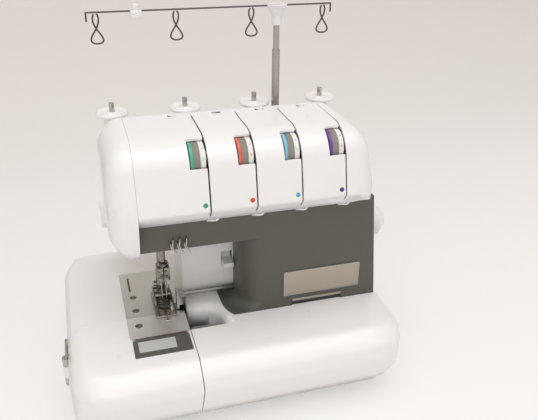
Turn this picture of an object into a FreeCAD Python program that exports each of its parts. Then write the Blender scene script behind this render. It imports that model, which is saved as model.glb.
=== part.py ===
import FreeCAD, Part
import Sketcher
import math
import os

# Four-thread overlock sewing machine (serger).
# Millimetres, +Z up. The pieces are drawn from a point under the middle of the base, and written with
# the origin on the table under the middle of the whole machine.
# +X points to the handwheel, -Y to the person who sews.

doc = FreeCAD.newDocument("overlock_machine")
sheet = doc.addObject("Spreadsheet::Sheet", "sizes")
vector = FreeCAD.Vector

# Counts
THREADS = 4
NEEDLE_HOOKS = 3
FEED_TEETH = 8

# Driving sizes
DRIVING_SIZES = {
    # Base hull
    "base_left": -157, "base_right": 155, "base_front": -115, "base_back": 125,
    "base_bottom": 8, "bed_top": 78, "casing_wall": 3,
    "hull_left_low_round": 20, "hull_right_low_round": 38,
    "hull_left_top_round": 20, "hull_right_top_round": 13, "hull_back_round": 14,
    "plan_front_round": 46, "plan_back_round": 30,
    "nose_height": 61, "nose_round": 14, "shoulder_y": -92, "shoulder_round": 14,
    "toe_y": -89, "toe_round": 8, "beyond": 20,
    # Feet and bottom plate
    "foot_radius": 8, "foot_front_x": 78, "foot_front_y": -64,
    "foot_back_x": 100, "foot_back_y": 74, "bottom_plate_thickness": 3,
    "plate_margin": 40, "bottom_plate_front": -74,
    # Seams, clearances and screws
    "seam_gap": 0.4, "fit_gap": 0.2, "notch_gap": 0.6, "running_clearance": 0.05, "bar_way": 1.5,
    "swing_seam_y": -17.5, "cover_seam_x": -46, "alcove_front_y": -50,
    "screw_radius": 1.5, "screw_head_radius": 3.5, "screw_head_depth": 1, "screw_length": 8,
    "driver_slot": 0.8,
    # Bed rim and deck
    "rim_low": 54, "rim_leg_width": 20, "rim_corner_round": 16, "rim_round": 10, "deck_margin": 6,
    "ledge_left": 17, "ledge_back": 5,
    # Looper cover hinge
    "cover_hinge_y": -85, "cover_hinge_z": 15, "hinge_rod_radius": 2.5, "lug_radius": 3.7,
    "lug_width": 8, "lug_back_y": -70, "floor_front_y": -79, "first_lug_x": -34,
    "second_lug_x": 50, "third_lug_x": 112, "first_eye_x": -20, "second_eye_x": 90,
    "cover_web_reach": 5, "rod_left": -38, "rod_right": 122,
    # Swing cover hinge, plate and window
    "swing_x": -158.5, "swing_y": -34, "swing_pin_radius": 2, "knuckle_radius": 4,
    "knuckle_low": 36, "knuckle_high": 50, "knuckle_length": 8, "leaf_thickness": 2, "leaf_back_y": -6,
    "cover_plate_thickness": 1, "window_left": -99.5, "window_right": -48, "window_front": -80,
    "window_back": -51, "window_depth": 2, "tray_thickness": 1, "tray_margin": 4,
    # Column, arm and their casings
    "panel_front": -39, "wall_front": 4, "body_back": 53, "column_left": 8,
    "column_right_low": 143, "column_right_high": 134, "throat_wall_left": -43,
    "arm_bottom": 158, "arm_left": -85, "throat_round": 12, "panel_edge_round": 24,
    "flare_reach": 17, "flare_round": 10, "flare_lip": 1,
    # Tension cover and end cap
    "dome_bottom": 187, "dome_top": 258.5, "dome_brow_y": -45, "dome_chin_y": -57,
    "dome_chin_z": 200, "dome_lip_y": -46, "dome_wall": 2.5, "brow_round": 30,
    "crown_back_round": 24, "chin_round": 5, "dome_top_round": 30, "dome_plan_round": 30,
    "dome_lean": 12, "dome_back_round": 4,
    "cap_left": -109, "cap_bottom": 152, "cap_end_round": 23, "cap_foot_y": -44,
    "cap_chin_round": 16, "cap_foot_round": 12,
    # Tension units
    "unit_pitch": 40.8, "first_slot_x": -23.9, "slot_width": 2.4, "slot_back_y": 26, "slot_foot": 6,
    "window_width": 15.6, "window_drop": 3, "window_back_y": -30.5,
    "dial_radius": 14.8, "dial_width": 13, "dial_gap": 0.4, "dial_y": -31.9, "dial_z": 239,
    "stud_radius": 2.5, "disc_radius": 10, "disc_thickness": 0.8, "disc_gap": 0.4, "spring_radius": 5,
    "spring_wire": 1,
    "tab_offset": 4, "tab_thickness": 2, "tab_reach": 3, "strip_front": 2, "strip_thickness": 2,
    "eye_length": 8, "eye_width": 5, "eye_offset_x": -17.6,
    "nub_width": 4, "nub_reach": 4, "nub_height": 6,
    "first_hook_x": -56, "hook_pitch": 6, "hook_z": 170, "hook_out": 5, "hook_fall": 16,
    # Front panel details
    "label_left": 47, "label_right": 124.5, "label_low": 91, "label_high": 117.6,
    "label_thickness": 0.8, "grip_left": 56, "grip_right": 107, "grip_high": 86,
    "grip_strip_height": 4.5, "grip_depth": 2,
    # Needle plate and sewing parts
    "needle_plate_left": -101, "needle_plate_right": -43, "needle_plate_back": 62,
    "needle_plate_thickness": 1.6, "screw_x": -91, "first_screw_y": 16, "second_screw_y": -7,
    "cover_screw_y": -32, "mark_slot_x": -94, "mark_slot_y": 27, "mark_slot_width": 2,
    "mark_slot_length": 26, "needle_x": -63, "needle_y": -9, "needle_bar_radius": 3,
    "needle_stroke": 24, "clamp_low": 112, "clamp_high": 130, "clamp_half": 6, "needle_tip_z": 87,
    "needle_radius": 0.5, "needle_spacing": 4, "needle_hole_margin": 3, "needle_shank": 8,
    "needle_point": 3, "clamp_screw_step": 5, "presser_y": 12, "presser_bar_radius": 3,
    "presser_lift": 5.5, "foot_toe_y": -33, "foot_heel_y": 17, "foot_left": -74, "foot_right": -53.8,
    "sole_thickness": 3, "shank_high": 100, "shank_half": 5, "collar_radius": 6, "collar_low": 184,
    "collar_height": 5, "lever_x": 1.5, "lever_width": 10, "lever_z": 113, "lever_thickness": 5,
    "lever_pivot_y": 24, "lever_reach": 10, "lever_slot_rise": 11, "lever_pin_radius": 2,
    "feed_bar_width": 2.2, "feed_bar_offset": 5, "feed_slot_gap": 0.8, "feed_stroke": 2.5,
    "feed_front_y": 0, "feed_back_y": 26, "feed_bar_low": 58, "feed_bar_high": 66,
    "feed_block_half": 7, "tooth_pitch": 3.25, "tooth_lean": 0.8,
    # Knives and loopers
    "knife_shaft_y": -1, "knife_shaft_z": 86, "knife_shaft_radius": 3, "lower_knife_right": -52.5,
    "knife_thickness": 2, "knife_notch_back": -4, "knife_front_y": -16, "knife_back_y": -6,
    "knife_low": 44, "holder_width": 6, "holder_height": 20, "blade_width": 8, "blade_height": 20,
    "looper_shaft_radius": 3, "looper_thickness": 3, "looper_hook": 4, "looper_tip": 1,
    "looper_bracket_y": 12,
    "bracket_thickness": 8, "lower_looper_x": -34, "lower_looper_z": 28, "lower_looper_y": -27,
    "lower_looper_rise": 30, "lower_looper_reach": 28, "upper_looper_x": -20, "upper_looper_z": 44,
    "upper_looper_y": -34, "upper_looper_rise": 22, "upper_looper_reach": 22,
    # Drive
    "shaft_y": 18, "shaft_z": 130, "shaft_radius": 5, "shaft_stub": 8, "arm_shaft_y": 32,
    "arm_shaft_z": 200, "arm_shaft_radius": 4, "bush_wall": 3,
    "wheel_radius": 17.2, "wheel_left": 145, "wheel_right": 173, "wheel_dome": 9,
    "big_pulley_radius": 26, "small_pulley_radius": 9, "belt_left": 121, "belt_right": 131,
    "belt_thickness": 2, "belt_gap": 0.3, "motor_y": 30, "motor_z": 41, "motor_radius": 25,
    "motor_left": 44, "motor_right": 104, "crank_offset": 7, "crank_width": 6, "crank_half": 4,
    # Frame
    "inner_web_x": 24, "outer_web_x": 106, "web_thickness": 10, "web_front": -8, "web_back": 46,
    "web_front_step": 10, "beam_low": 176, "beam_high": 180, "beam_half": 12, "guide_low": 214,
    "guide_high": 220, "head_left": -78, "head_width": 30, "head_front": -20,
    # Mains switch, inlet and stitch length knob
    "switch_y": 34, "switch_length": 20, "switch_z": 47, "switch_height": 12, "switch_depth": 14,
    "switch_wall": 1.5, "rocker_proud": 2.5, "rocker_depth": 7, "rocker_gap": 1,
    "rocker_pin_radius": 1, "inlet_y": 64, "inlet_length": 20, "inlet_recess": 9,
    "inlet_wall": 2, "blade_radius": 1, "blade_pitch": 8,
    "knob_y": 40, "knob_z": 98, "knob_radius": 11, "knob_left": 142.8, "knob_right": 153,
    "knob_stem_radius": 4, "knob_draft": 1, "knob_stem_left": 133,
    # Thread stand
    "shelf_left": -112, "shelf_right": 140, "shelf_back": 101, "shelf_low": 140, "shelf_high": 146,
    "apron_drop": 20, "spool_pitch": 70, "first_spool_x": -90.5, "spool_y": 77, "pin_radius": 2.5,
    "pin_top": 259, "cone_low_radius": 13, "cone_high_radius": 8, "cap_radius": 15.25, "cap_low": 243,
    "cap_high": 250.7, "cap_thickness": 4, "tower_x": 70, "tower_y": 70.5, "lower_tube_radius": 3.9,
    "upper_tube_radius": 3, "tower_socket_radius": 7, "tower_socket_height": 14,
    "lower_tube_top": 302, "tube_rest_overlap": 130, "tube_floor": 2, "tower_head_low": 326,
    "tower_head_high": 344.5, "tower_head_radius": 10, "tower_cup": 10, "sleeve_radius": 5,
    "wire_radius": 0.8, "guide_bar_z": 343.7, "first_loop_x": -97.3, "loop_pitch": 71.2,
    "loop_drop": 29,
    "loop_round": 3.9, "loop_taper": 2, "loop_cross": 1.1, "hook_reach": 8, "hook_drop": 8,
    "clip_half_width": 6, "clip_half_height": 6.5, "clip_half_depth": 3,
}


class Size:
    """A length with its value and the sheet expression that gives it."""

    def __init__(self, value, text):
        self.value = value
        self.text = text

    def _mix(self, other, sign, swap=False):
        other = as_size(other)
        first, second = (other, self) if swap else (self, other)
        results = {
            "+": first.value + second.value,
            "-": first.value - second.value,
            "*": first.value * second.value,
            "/": first.value / second.value if second.value else 0.0,
        }
        return Size(results[sign], f"({first.text} {sign} {second.text})")

    def __add__(self, other):
        return self._mix(other, "+")

    def __radd__(self, other):
        return self._mix(other, "+", True)

    def __sub__(self, other):
        return self._mix(other, "-")

    def __rsub__(self, other):
        return self._mix(other, "-", True)

    def __mul__(self, other):
        return self._mix(other, "*")

    def __rmul__(self, other):
        return self._mix(other, "*", True)

    def __truediv__(self, other):
        return self._mix(other, "/")

    def __neg__(self):
        return Size(-self.value, f"(0 - {self.text})")


def as_size(number):
    if isinstance(number, Size):
        return number
    return Size(float(number), f"({number})")


class Sizes:
    """The driving sizes by name, such as s.bed_top."""


s = Sizes()
for row, (alias, number) in enumerate(DRIVING_SIZES.items(), start=1):
    sheet.set(f"A{row}", alias)
    sheet.set(f"B{row}", str(number))
    sheet.setAlias(f"B{row}", alias)
    setattr(s, alias, Size(float(number), f"sizes.{alias}"))
doc.recompute()

nodes = {}


def bind(item, prop, size):
    item.setExpression(prop, as_size(size).text)


def node(name, item):
    """Marks an object of the document as a finished piece."""
    item.Label = name
    nodes[name] = item
    return item


def box(name, x, y, z):
    """A block between two corners, each axis given as (low, high)."""
    piece = doc.addObject("Part::Box", name)
    for prop, axis, (low, high) in (("Length", "x", x), ("Width", "y", y), ("Height", "z", z)):
        bind(piece, prop, as_size(high) - low)
        bind(piece, f"Placement.Base.{axis}", low)
    return piece


AXIS_TURNS = {
    "x": FreeCAD.Rotation(vector(0, 1, 0), 90),
    "y": FreeCAD.Rotation(vector(1, 0, 0), -90),
    "z": FreeCAD.Rotation(),
}


def aim(piece, axis, centre, start):
    """Points a round piece along an axis. centre gives the two other coordinates in order."""
    piece.Placement = FreeCAD.Placement(vector(), AXIS_TURNS[axis])
    others = [name for name in "xyz" if name != axis]
    for name, place in zip(others, centre):
        bind(piece, f"Placement.Base.{name}", place)
    bind(piece, f"Placement.Base.{axis}", start)


def rod(name, axis, centre, radius, span):
    """A round bar along an axis, from span[0] to span[1]."""
    piece = doc.addObject("Part::Cylinder", name)
    bind(piece, "Radius", radius)
    bind(piece, "Height", as_size(span[1]) - span[0])
    aim(piece, axis, centre, span[0])
    return piece


def taper(name, axis, centre, radii, span):
    """A cone along an axis with a radius at each end of the span."""
    piece = doc.addObject("Part::Cone", name)
    bind(piece, "Radius1", radii[0])
    bind(piece, "Radius2", radii[1])
    bind(piece, "Height", as_size(span[1]) - span[0])
    aim(piece, axis, centre, span[0])
    return piece


def join(name, *pieces):
    merged = doc.addObject("Part::MultiFuse", name)
    merged.Shapes = list(pieces)
    return merged


def overlap(name, *pieces):
    shared = doc.addObject("Part::MultiCommon", name)
    shared.Shapes = list(pieces)
    return shared


def cut(name, base, *tools):
    """The base with every tool taken out of it."""
    tool = tools[0] if len(tools) == 1 else join(f"{name}_tools", *tools)
    remainder = doc.addObject("Part::Cut", name)
    remainder.Base = base
    remainder.Tool = tool
    return remainder


def group(name, pieces):
    """Separate solids that share one node."""
    bundle = doc.addObject("Part::Compound", name)
    bundle.Links = list(pieces)
    return bundle


def corner_points(corners):
    """The tangent points before and after each corner of a rounded outline."""
    spots = [vector(as_size(u).value, as_size(v).value, 0) for u, v, r in corners]
    entries = []
    exits = []
    for i, (u, v, r) in enumerate(corners):
        back = (spots[i - 1] - spots[i]).normalize()
        ahead = (spots[(i + 1) % len(spots)] - spots[i]).normalize()
        reach = as_size(r).value / math.tan(back.getAngle(ahead) / 2)
        entries.append(spots[i] + back * reach)
        exits.append(spots[i] + ahead * reach)
    return spots, entries, exits


def round_corner(sketch, before, after, spot, entry, leave, radius):
    """Adds the arc of one rounded corner and the construction point that places it."""
    middle = ((entry - spot).normalize() + (leave - spot).normalize()).normalize()
    half = (entry - spot).getAngle(middle)
    centre = spot + middle * (radius.value / math.sin(half))
    bulge = centre - middle * radius.value
    turns_left = (spot - entry).cross(leave - spot).z > 0
    drawn = Part.Arc(entry, bulge, leave) if turns_left else Part.Arc(leave, bulge, entry)
    first, last = (1, 2) if turns_left else (2, 1)
    arc = sketch.addGeometry(drawn, False)
    sketch.addConstraint(Sketcher.Constraint("Tangent", before, 2, arc, first))
    sketch.addConstraint(Sketcher.Constraint("Tangent", arc, last, after, 1))
    rule = sketch.addConstraint(Sketcher.Constraint("Radius", arc, radius.value))
    sketch.setExpression(f"Constraints[{rule}]", radius.text)
    corner = sketch.addGeometry(Part.Point(spot), True)
    sketch.addConstraint(Sketcher.Constraint("PointOnObject", corner, 1, before))
    sketch.addConstraint(Sketcher.Constraint("PointOnObject", corner, 1, after))
    return corner


def outline(body, name, plane, corners, height):
    """A closed sketch of straight runs. Each corner is (u, v, radius), with 0 for a sharp one."""
    sketch = body.newObject("Sketcher::SketchObject", name)
    origin_plane = [part for part in body.Origin.OriginFeatures if part.Role == plane][0]
    sketch.AttachmentSupport = [(origin_plane, "")]
    sketch.MapMode = "FlatFace"
    bind(sketch, "AttachmentOffset.Base.z", height)
    spots, entries, exits = corner_points(corners)
    count = len(corners)
    runs = []
    for i in range(count):
        run = Part.LineSegment(exits[i], entries[(i + 1) % count])
        runs.append(sketch.addGeometry(run, False))
    for i, (u, v, r) in enumerate(corners):
        before, after = runs[i - 1], runs[i]
        if as_size(r).value > 0:
            held = round_corner(sketch, before, after, spots[i], entries[i], exits[i], as_size(r))
        else:
            sketch.addConstraint(Sketcher.Constraint("Coincident", before, 2, after, 1))
            held = after
        for kind, place in (("DistanceX", as_size(u)), ("DistanceY", as_size(v))):
            rule = sketch.addConstraint(Sketcher.Constraint(kind, -1, 1, held, 1, place.value))
            sketch.setExpression(f"Constraints[{rule}]", place.text)
    return sketch


PLANES = {"side": "YZ_Plane", "front": "XZ_Plane", "plan": "XY_Plane"}


def prism(name, view, corners, span):
    """A body padded from an outline: side is (y, z), front is (x, z) and plan is (x, y)."""
    body = doc.addObject("PartDesign::Body", name)
    start = -as_size(span[1]) if view == "front" else as_size(span[0])
    sketch = outline(body, f"{name}_outline", PLANES[view], corners, start)
    pad = body.newObject("PartDesign::Pad", f"{name}_pad")
    pad.Profile = sketch
    bind(pad, "Length", as_size(span[1]) - span[0])
    doc.recompute()
    return body


def round_edges(body, radius, chosen):
    """Rounds the edges of a body whose bounding box the function accepts."""
    tip = body.Tip
    names = [f"Edge{i}" for i, edge in enumerate(body.Shape.Edges, start=1) if chosen(edge.BoundBox)]
    fillet = body.newObject("PartDesign::Fillet", f"{body.Name}_round")
    fillet.Base = (tip, names)
    bind(fillet, "Radius", radius)
    doc.recompute()
    return body


def near(a, b):
    return abs(a - b) < 0.01


def at(size, low, high):
    """True where a bounding box is flat on the plane that a size gives."""
    return near(low, as_size(size).value) and near(high, as_size(size).value)


# Base hull: the overlap of a side, a front and a plan outline, hollowed and parted at the seams
def hull(name, inset):
    left = s.base_left + inset
    right = s.base_right - inset
    low = s.base_bottom + inset
    high = s.bed_top - inset
    back = s.base_back - inset
    side = prism(f"{name}_side", "side", [
        (back, low, s.hull_back_round - inset),
        (back, high, s.hull_back_round - inset),
        (s.shoulder_y + inset / 4, high, s.shoulder_round - inset),
        (s.base_front + inset, s.nose_height, s.nose_round - inset),
        (s.toe_y + inset / 2, low, s.toe_round - inset),
    ], (left - 1, right + 1))
    front = prism(f"{name}_front", "front", [
        (left, low, s.hull_left_low_round - inset),
        (right, low, s.hull_right_low_round - inset),
        (right, high, s.hull_right_top_round - inset),
        (left, high, s.hull_left_top_round - inset),
    ], (s.base_front - 1, s.base_back + 1))
    plan = prism(f"{name}_plan", "plan", [
        (left, s.base_front + inset, s.plan_front_round - inset),
        (right, s.base_front + inset, s.plan_front_round - inset),
        (right, back, s.plan_back_round - inset),
        (left, back, s.plan_back_round - inset),
    ], (s.base_bottom - 1, s.bed_top + 1))
    return overlap(name, side, front, plan)


def slot_x(i):
    """The middle of a tension unit's thread slot."""
    return s.first_slot_x + s.unit_pitch * i


def spool_x(i):
    return s.first_spool_x + s.spool_pitch * i


# Shared places
floor_high = s.base_bottom + s.casing_wall
deck_low = s.bed_top - s.casing_wall
plate_low = s.bed_top - s.needle_plate_thickness
far_left = s.base_left - s.beyond
far_right = s.base_right + s.beyond
far_front = s.base_front - s.beyond
far_back = s.base_back + s.beyond
far_low = s.base_bottom - s.beyond
far_high = s.bed_top + s.beyond
shell = cut("hull_shell", hull("hull_outer", as_size(0)), hull("hull_inner", s.casing_wall))


# Base: bottom plate, feet and the casing that the covers close
def bottom_plate():
    plate = box("bottom_plate", (s.base_left + s.plate_margin, s.base_right - s.plate_margin),
                (s.bottom_plate_front, s.base_back - s.plate_margin),
                (s.base_bottom - s.bottom_plate_thickness, s.base_bottom))
    node("bottom_plate", plate)


def rubber_feet():
    places = [
        (s.foot_front_x, s.foot_front_y),
        (-s.foot_front_x, s.foot_front_y),
        (s.foot_back_x, s.foot_back_y),
        (-s.foot_back_x, s.foot_back_y),
    ]
    foot_top = s.base_bottom - s.bottom_plate_thickness
    feet = [rod(f"rubber_foot_{i}", "z", place, s.foot_radius, (0, foot_top))
            for i, place in enumerate(places)]
    node("rubber_feet", group("rubber_feet", feet))


def cover_lug(i, x):
    """A bearing lug on the floor for the hinge rod of the looper cover."""
    wide = (x, x + s.lug_width)
    drilled = (x - 1, x + s.lug_width + 1)
    centre = (s.cover_hinge_y, s.cover_hinge_z)
    boss = rod(f"lug_boss_{i}", "x", centre, s.lug_radius, wide)
    arm = box(f"lug_arm_{i}", wide, (s.cover_hinge_y, s.lug_back_y),
              (s.cover_hinge_z - s.hinge_rod_radius, s.cover_hinge_z + s.lug_radius))
    foot = box(f"lug_foot_{i}", wide, (s.floor_front_y, s.lug_back_y),
               (s.base_bottom + 1, s.cover_hinge_z))
    bore = rod(f"lug_bore_{i}", "x", centre, s.hinge_rod_radius + s.running_clearance, drilled)
    return cut(f"cover_lug_{i}", join(f"lug_blank_{i}", boss, arm, foot), bore)


def base_casing():
    rear = box("casing_rear", (far_left, far_right), (s.swing_seam_y, far_back), (far_low, far_high))
    right = box("casing_right", (s.column_left, far_right), (s.panel_front, s.swing_seam_y),
                (far_low, far_high))
    floor = box("casing_floor", (far_left, far_right), (s.floor_front_y, s.swing_seam_y),
                (far_low, floor_high))
    kept = overlap("casing_kept", shell, join("casing_region", rear, right, floor))
    plate_seat = box("plate_seat", (s.needle_plate_left - s.fit_gap, s.needle_plate_right + s.fit_gap),
                     (s.swing_seam_y - 1, s.needle_plate_back + s.fit_gap), (plate_low, far_high))
    plate_hole = box("plate_hole", (s.needle_plate_left + s.ledge_left, s.needle_plate_right + s.fit_gap),
                     (s.swing_seam_y - 1, s.needle_plate_back - s.ledge_back), (deck_low - 1, far_high))
    rim_seat = box("rim_seat", (s.throat_wall_left, s.column_left), (s.swing_seam_y - 1, s.wall_front),
                   (s.rim_low - 1, far_high))
    column_hole = box("column_hole", (s.column_left + s.deck_margin, s.column_right_high - 1),
                      (s.panel_front + s.deck_margin, s.body_back - s.deck_margin),
                      (deck_low - 1, far_high))
    switch_hole = box("switch_hole", (s.base_right - s.deck_margin, far_right),
                      (s.switch_y, s.switch_y + s.switch_length),
                      (s.switch_z, s.switch_z + s.switch_height))
    inlet_hole = box("inlet_hole", (s.base_right - s.deck_margin, far_right),
                     (s.inlet_y, s.inlet_y + s.inlet_length), (s.switch_z, s.switch_z + s.switch_height))
    screw_holes = [plate_screw_hole(i, "base") for i in range(len(plate_screw_places()))]
    casing = cut("casing_cut", kept, plate_seat, plate_hole, rim_seat, column_hole, switch_hole,
                 inlet_hole, *screw_holes)
    lugs = [cover_lug(i, x) for i, x in enumerate((s.first_lug_x, s.second_lug_x, s.third_lug_x))]
    node("base_casing", join("base_casing", casing, bed_rim(), *lugs))


def bed_rim():
    """The rounded edge where the bed turns down into the looper bay."""
    inner_x = s.column_left - s.rim_leg_width
    body = prism("bed_rim", "plan", [
        (s.throat_wall_left + s.fit_gap, s.wall_front, 0),
        (s.throat_wall_left + s.fit_gap, s.swing_seam_y, 0),
        (inner_x, s.swing_seam_y, s.rim_corner_round),
        (inner_x, s.alcove_front_y, 0),
        (s.column_left, s.alcove_front_y, 0),
        (s.column_left, s.wall_front, 0),
    ], (s.rim_low, s.bed_top))

    def inner_top(bounds):
        front = at(s.swing_seam_y, bounds.YMin, bounds.YMax)
        side = at(inner_x, bounds.XMin, bounds.XMax)
        bend = bounds.XMax < inner_x.value + 0.01 and bounds.YMax < s.swing_seam_y.value + 0.01
        return at(s.bed_top, bounds.ZMin, bounds.ZMax) and (front or side or bend)

    return round_edges(body, s.rim_round, inner_top)


def plate_screw_places():
    return [(s.screw_x, s.first_screw_y), (s.screw_x, s.second_screw_y)]


def plate_screw_hole(i, use):
    centre = plate_screw_places()[i]
    return rod(f"{use}_screw_hole_{i}", "z", centre, s.screw_radius,
               (s.bed_top - s.screw_length, far_high))


def plate_screws():
    """Cheese-head screws sunk into the needle plate, each with a driver slot."""
    screws = []
    for i, (x, y) in enumerate(plate_screw_places()):
        shank = rod(f"screw_shank_{i}", "z", (x, y), s.screw_radius,
                    (s.bed_top - s.screw_length, s.bed_top))
        head = rod(f"screw_head_{i}", "z", (x, y), s.screw_head_radius,
                   (s.bed_top - s.screw_head_depth, s.bed_top))
        slot = box(f"screw_slot_{i}", (x - s.screw_head_radius, x + s.screw_head_radius),
                   (y - s.driver_slot / 2, y + s.driver_slot / 2), (s.bed_top - s.driver_slot, far_high))
        screws.append(cut(f"plate_screw_{i}", join(f"screw_blank_{i}", shank, head), slot))
    node("plate_screws", group("plate_screws", screws))


def feed_bar_lefts():
    return (s.needle_x - s.feed_bar_width / 2 - s.feed_bar_offset,
            s.needle_x - s.feed_bar_width / 2 + s.feed_bar_offset)


def needle_plate():
    blank = box("plate_blank", (s.needle_plate_left, s.needle_plate_right),
                (s.swing_seam_y, s.needle_plate_back),
                (plate_low, s.bed_top))
    tools = []
    for i, (x, y) in enumerate(plate_screw_places()):
        tools.append(plate_screw_hole(i, "plate"))
        tools.append(rod(f"plate_counterbore_{i}", "z", (x, y), s.screw_head_radius,
                         (s.bed_top - s.screw_head_depth, far_high)))
    for i, left in enumerate(feed_bar_lefts()):
        wide = (left - s.feed_slot_gap, left + s.feed_bar_width + s.feed_slot_gap)
        long = (s.feed_front_y - s.feed_stroke - s.feed_slot_gap,
                s.feed_back_y + s.feed_stroke + s.feed_slot_gap)
        tools.append(box(f"feed_slot_{i}", wide, long, (plate_low - 1, far_high)))
    half_hole = s.needle_spacing / 2 + s.needle_hole_margin
    tools.append(box("needle_hole", (s.needle_x - half_hole, s.needle_x + half_hole),
                     (s.needle_y - s.needle_hole_margin, s.needle_y + s.needle_hole_margin),
                     (plate_low - 1, far_high)))
    tools.append(box("knife_notch", (s.lower_knife_right - s.knife_thickness - s.fit_gap, far_right),
                     (far_front, s.knife_notch_back), (plate_low - 1, far_high)))
    tools.append(box("seam_mark_slot", (s.mark_slot_x, s.mark_slot_x + s.mark_slot_width),
                     (s.mark_slot_y, s.mark_slot_y + s.mark_slot_length), (plate_low - 1, far_high)))
    node("needle_plate", cut("needle_plate", blank, *tools))


# Swing cover on the left, with its plate, window and hinge
def swing_cover():
    right = s.cover_seam_x - s.seam_gap
    back = s.swing_seam_y - s.seam_gap
    region = box("swing_region", (far_left, right), (far_front, back),
                 (floor_high + s.seam_gap, far_high))
    kept = overlap("swing_kept", shell, region)
    plate_recess = box("cover_plate_recess", (s.needle_plate_left, far_right), (s.window_back, far_back),
                       (s.bed_top - s.cover_plate_thickness, far_high))
    window_recess = box("window_recess", (s.window_left, s.window_right), (s.window_front, s.window_back),
                        (s.bed_top - s.window_depth, far_high))
    centre = (s.swing_x, s.swing_y)
    notches = [
        rod("low_knuckle_notch", "z", centre, s.knuckle_radius + s.notch_gap, (far_low, s.knuckle_low)),
        rod("high_knuckle_notch", "z", centre, s.knuckle_radius + s.notch_gap,
            (s.knuckle_high, far_high)),
    ]
    shaped = cut("swing_shaped", kept, plate_recess, window_recess, *notches)
    level = (s.knuckle_low + s.seam_gap, s.knuckle_high - s.seam_gap)
    eye = rod("swing_eye", "z", centre, s.knuckle_radius, level)
    web = box("swing_web", (s.swing_x, s.base_left + s.casing_wall - s.fit_gap),
              (s.swing_y - s.knuckle_radius / 2, s.swing_y + s.knuckle_radius / 2), level)
    bore = rod("swing_bore", "z", centre, s.swing_pin_radius + s.running_clearance, (far_low, far_high))
    node("swing_cover", cut("swing_cover", join("swing_joined", shaped, eye, web), bore))

    cover_plate = box("cover_plate_blank", (s.needle_plate_left + s.fit_gap, right),
                      (s.window_back + s.fit_gap, back), (s.bed_top - s.cover_plate_thickness, s.bed_top))
    screw_place = (s.screw_x, s.cover_screw_y)
    screw_seat = rod("cover_screw_seat", "z", screw_place, s.screw_head_radius,
                     (s.bed_top - s.cover_plate_thickness, far_high))
    node("cover_plate", cut("cover_plate", cover_plate, screw_seat))
    head = rod("cover_screw_head", "z", screw_place, s.screw_head_radius,
               (s.bed_top - s.cover_plate_thickness, s.bed_top))
    slot = box("cover_screw_slot", (s.screw_x - s.screw_head_radius, s.screw_x + s.screw_head_radius),
               (s.cover_screw_y - s.driver_slot / 2, s.cover_screw_y + s.driver_slot / 2),
               (s.bed_top - s.cover_plate_thickness / 2, far_high))
    node("cover_screw", cut("cover_screw", head, slot))
    floor = s.bed_top - s.window_depth
    node("window_plate",
         box("window_plate", (s.window_left + s.tray_margin, s.window_right - s.tray_margin * 2),
                             (s.window_front + s.tray_margin, s.window_back - s.tray_margin),
                             (floor, floor + s.tray_thickness)))


def swing_hinge():
    """The fixed leaf and knuckles on the left wall of the base, and the pin through them."""
    centre = (s.swing_x, s.swing_y)
    low = s.knuckle_low - s.knuckle_length
    high = s.knuckle_high + s.knuckle_length
    leaf_left = s.base_left - s.leaf_thickness - s.seam_gap
    leaf = box("hinge_leaf", (leaf_left, s.base_left - s.seam_gap), (s.swing_y, s.leaf_back_y),
               (low, high))
    pad = box("hinge_pad", (leaf_left, s.base_left), (s.swing_seam_y + 2, s.leaf_back_y), (low, high))
    barrel = rod("hinge_barrel", "z", centre, s.knuckle_radius, (low, high))
    gap = box("hinge_gap", (far_left, s.base_left + s.knuckle_radius),
              (s.swing_y - s.knuckle_radius - 1, s.swing_y + s.knuckle_radius + s.notch_gap),
              (s.knuckle_low, s.knuckle_high))
    pin = rod("hinge_pin", "z", centre, s.swing_pin_radius, (low, high + 1))
    leaves = cut("hinge_leaves", join("hinge_blank", leaf, pad, barrel), gap)
    node("swing_hinge", join("swing_hinge", leaves, pin))


# Looper cover on the right, which slides along its hinge rod and tilts forward
def looper_cover():
    low = floor_high + s.seam_gap
    left = s.cover_seam_x + s.seam_gap
    front = box("cover_front", (left, far_right), (far_front, s.alcove_front_y - s.seam_gap),
                (low, far_high))
    right = box("cover_right", (s.column_left, far_right), (far_front, s.panel_front - s.seam_gap),
                (low, far_high))
    kept = overlap("cover_kept", shell, join("cover_region", front, right))
    centre = (s.cover_hinge_y, s.cover_hinge_z)
    pieces = [kept]
    bores = []
    for i, x in enumerate((s.first_eye_x, s.second_eye_x)):
        wide = (x, x + s.lug_width)
        eye = rod(f"cover_eye_{i}", "x", centre, s.lug_radius, wide)
        web = box(f"cover_web_{i}", wide, (s.cover_hinge_y - s.cover_web_reach, s.cover_hinge_y),
                  (s.cover_hinge_z - s.hinge_rod_radius, s.cover_hinge_z + s.lug_radius))
        pieces += [eye, web]
        bores.append(rod(f"cover_bore_{i}", "x", centre, s.hinge_rod_radius + s.running_clearance,
                         (x - 1, x + s.lug_width + 1)))
    node("looper_cover", cut("looper_cover", join("cover_joined", *pieces), *bores))
    node("cover_hinge_rod",
         rod("cover_hinge_rod", "x", centre, s.hinge_rod_radius, (s.rod_left, s.rod_right)))


# Column and arm casings
def panel_corners(inset):
    """The inverted L of the front panel, (x, z). The inset one is open above, below and to the left."""
    past = as_size(1 if inset.value else 0)
    column = s.column_left + inset
    under = s.arm_bottom + inset
    return [
        (s.arm_left - past, s.dome_bottom + past, 0),
        (s.column_right_high - inset, s.dome_bottom + past, 0),
        (s.column_right_low - inset, s.bed_top - past, 0), (column, s.bed_top - past, 0),
        (column, under, 0), (s.arm_left - past, under, 0),
    ]


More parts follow.
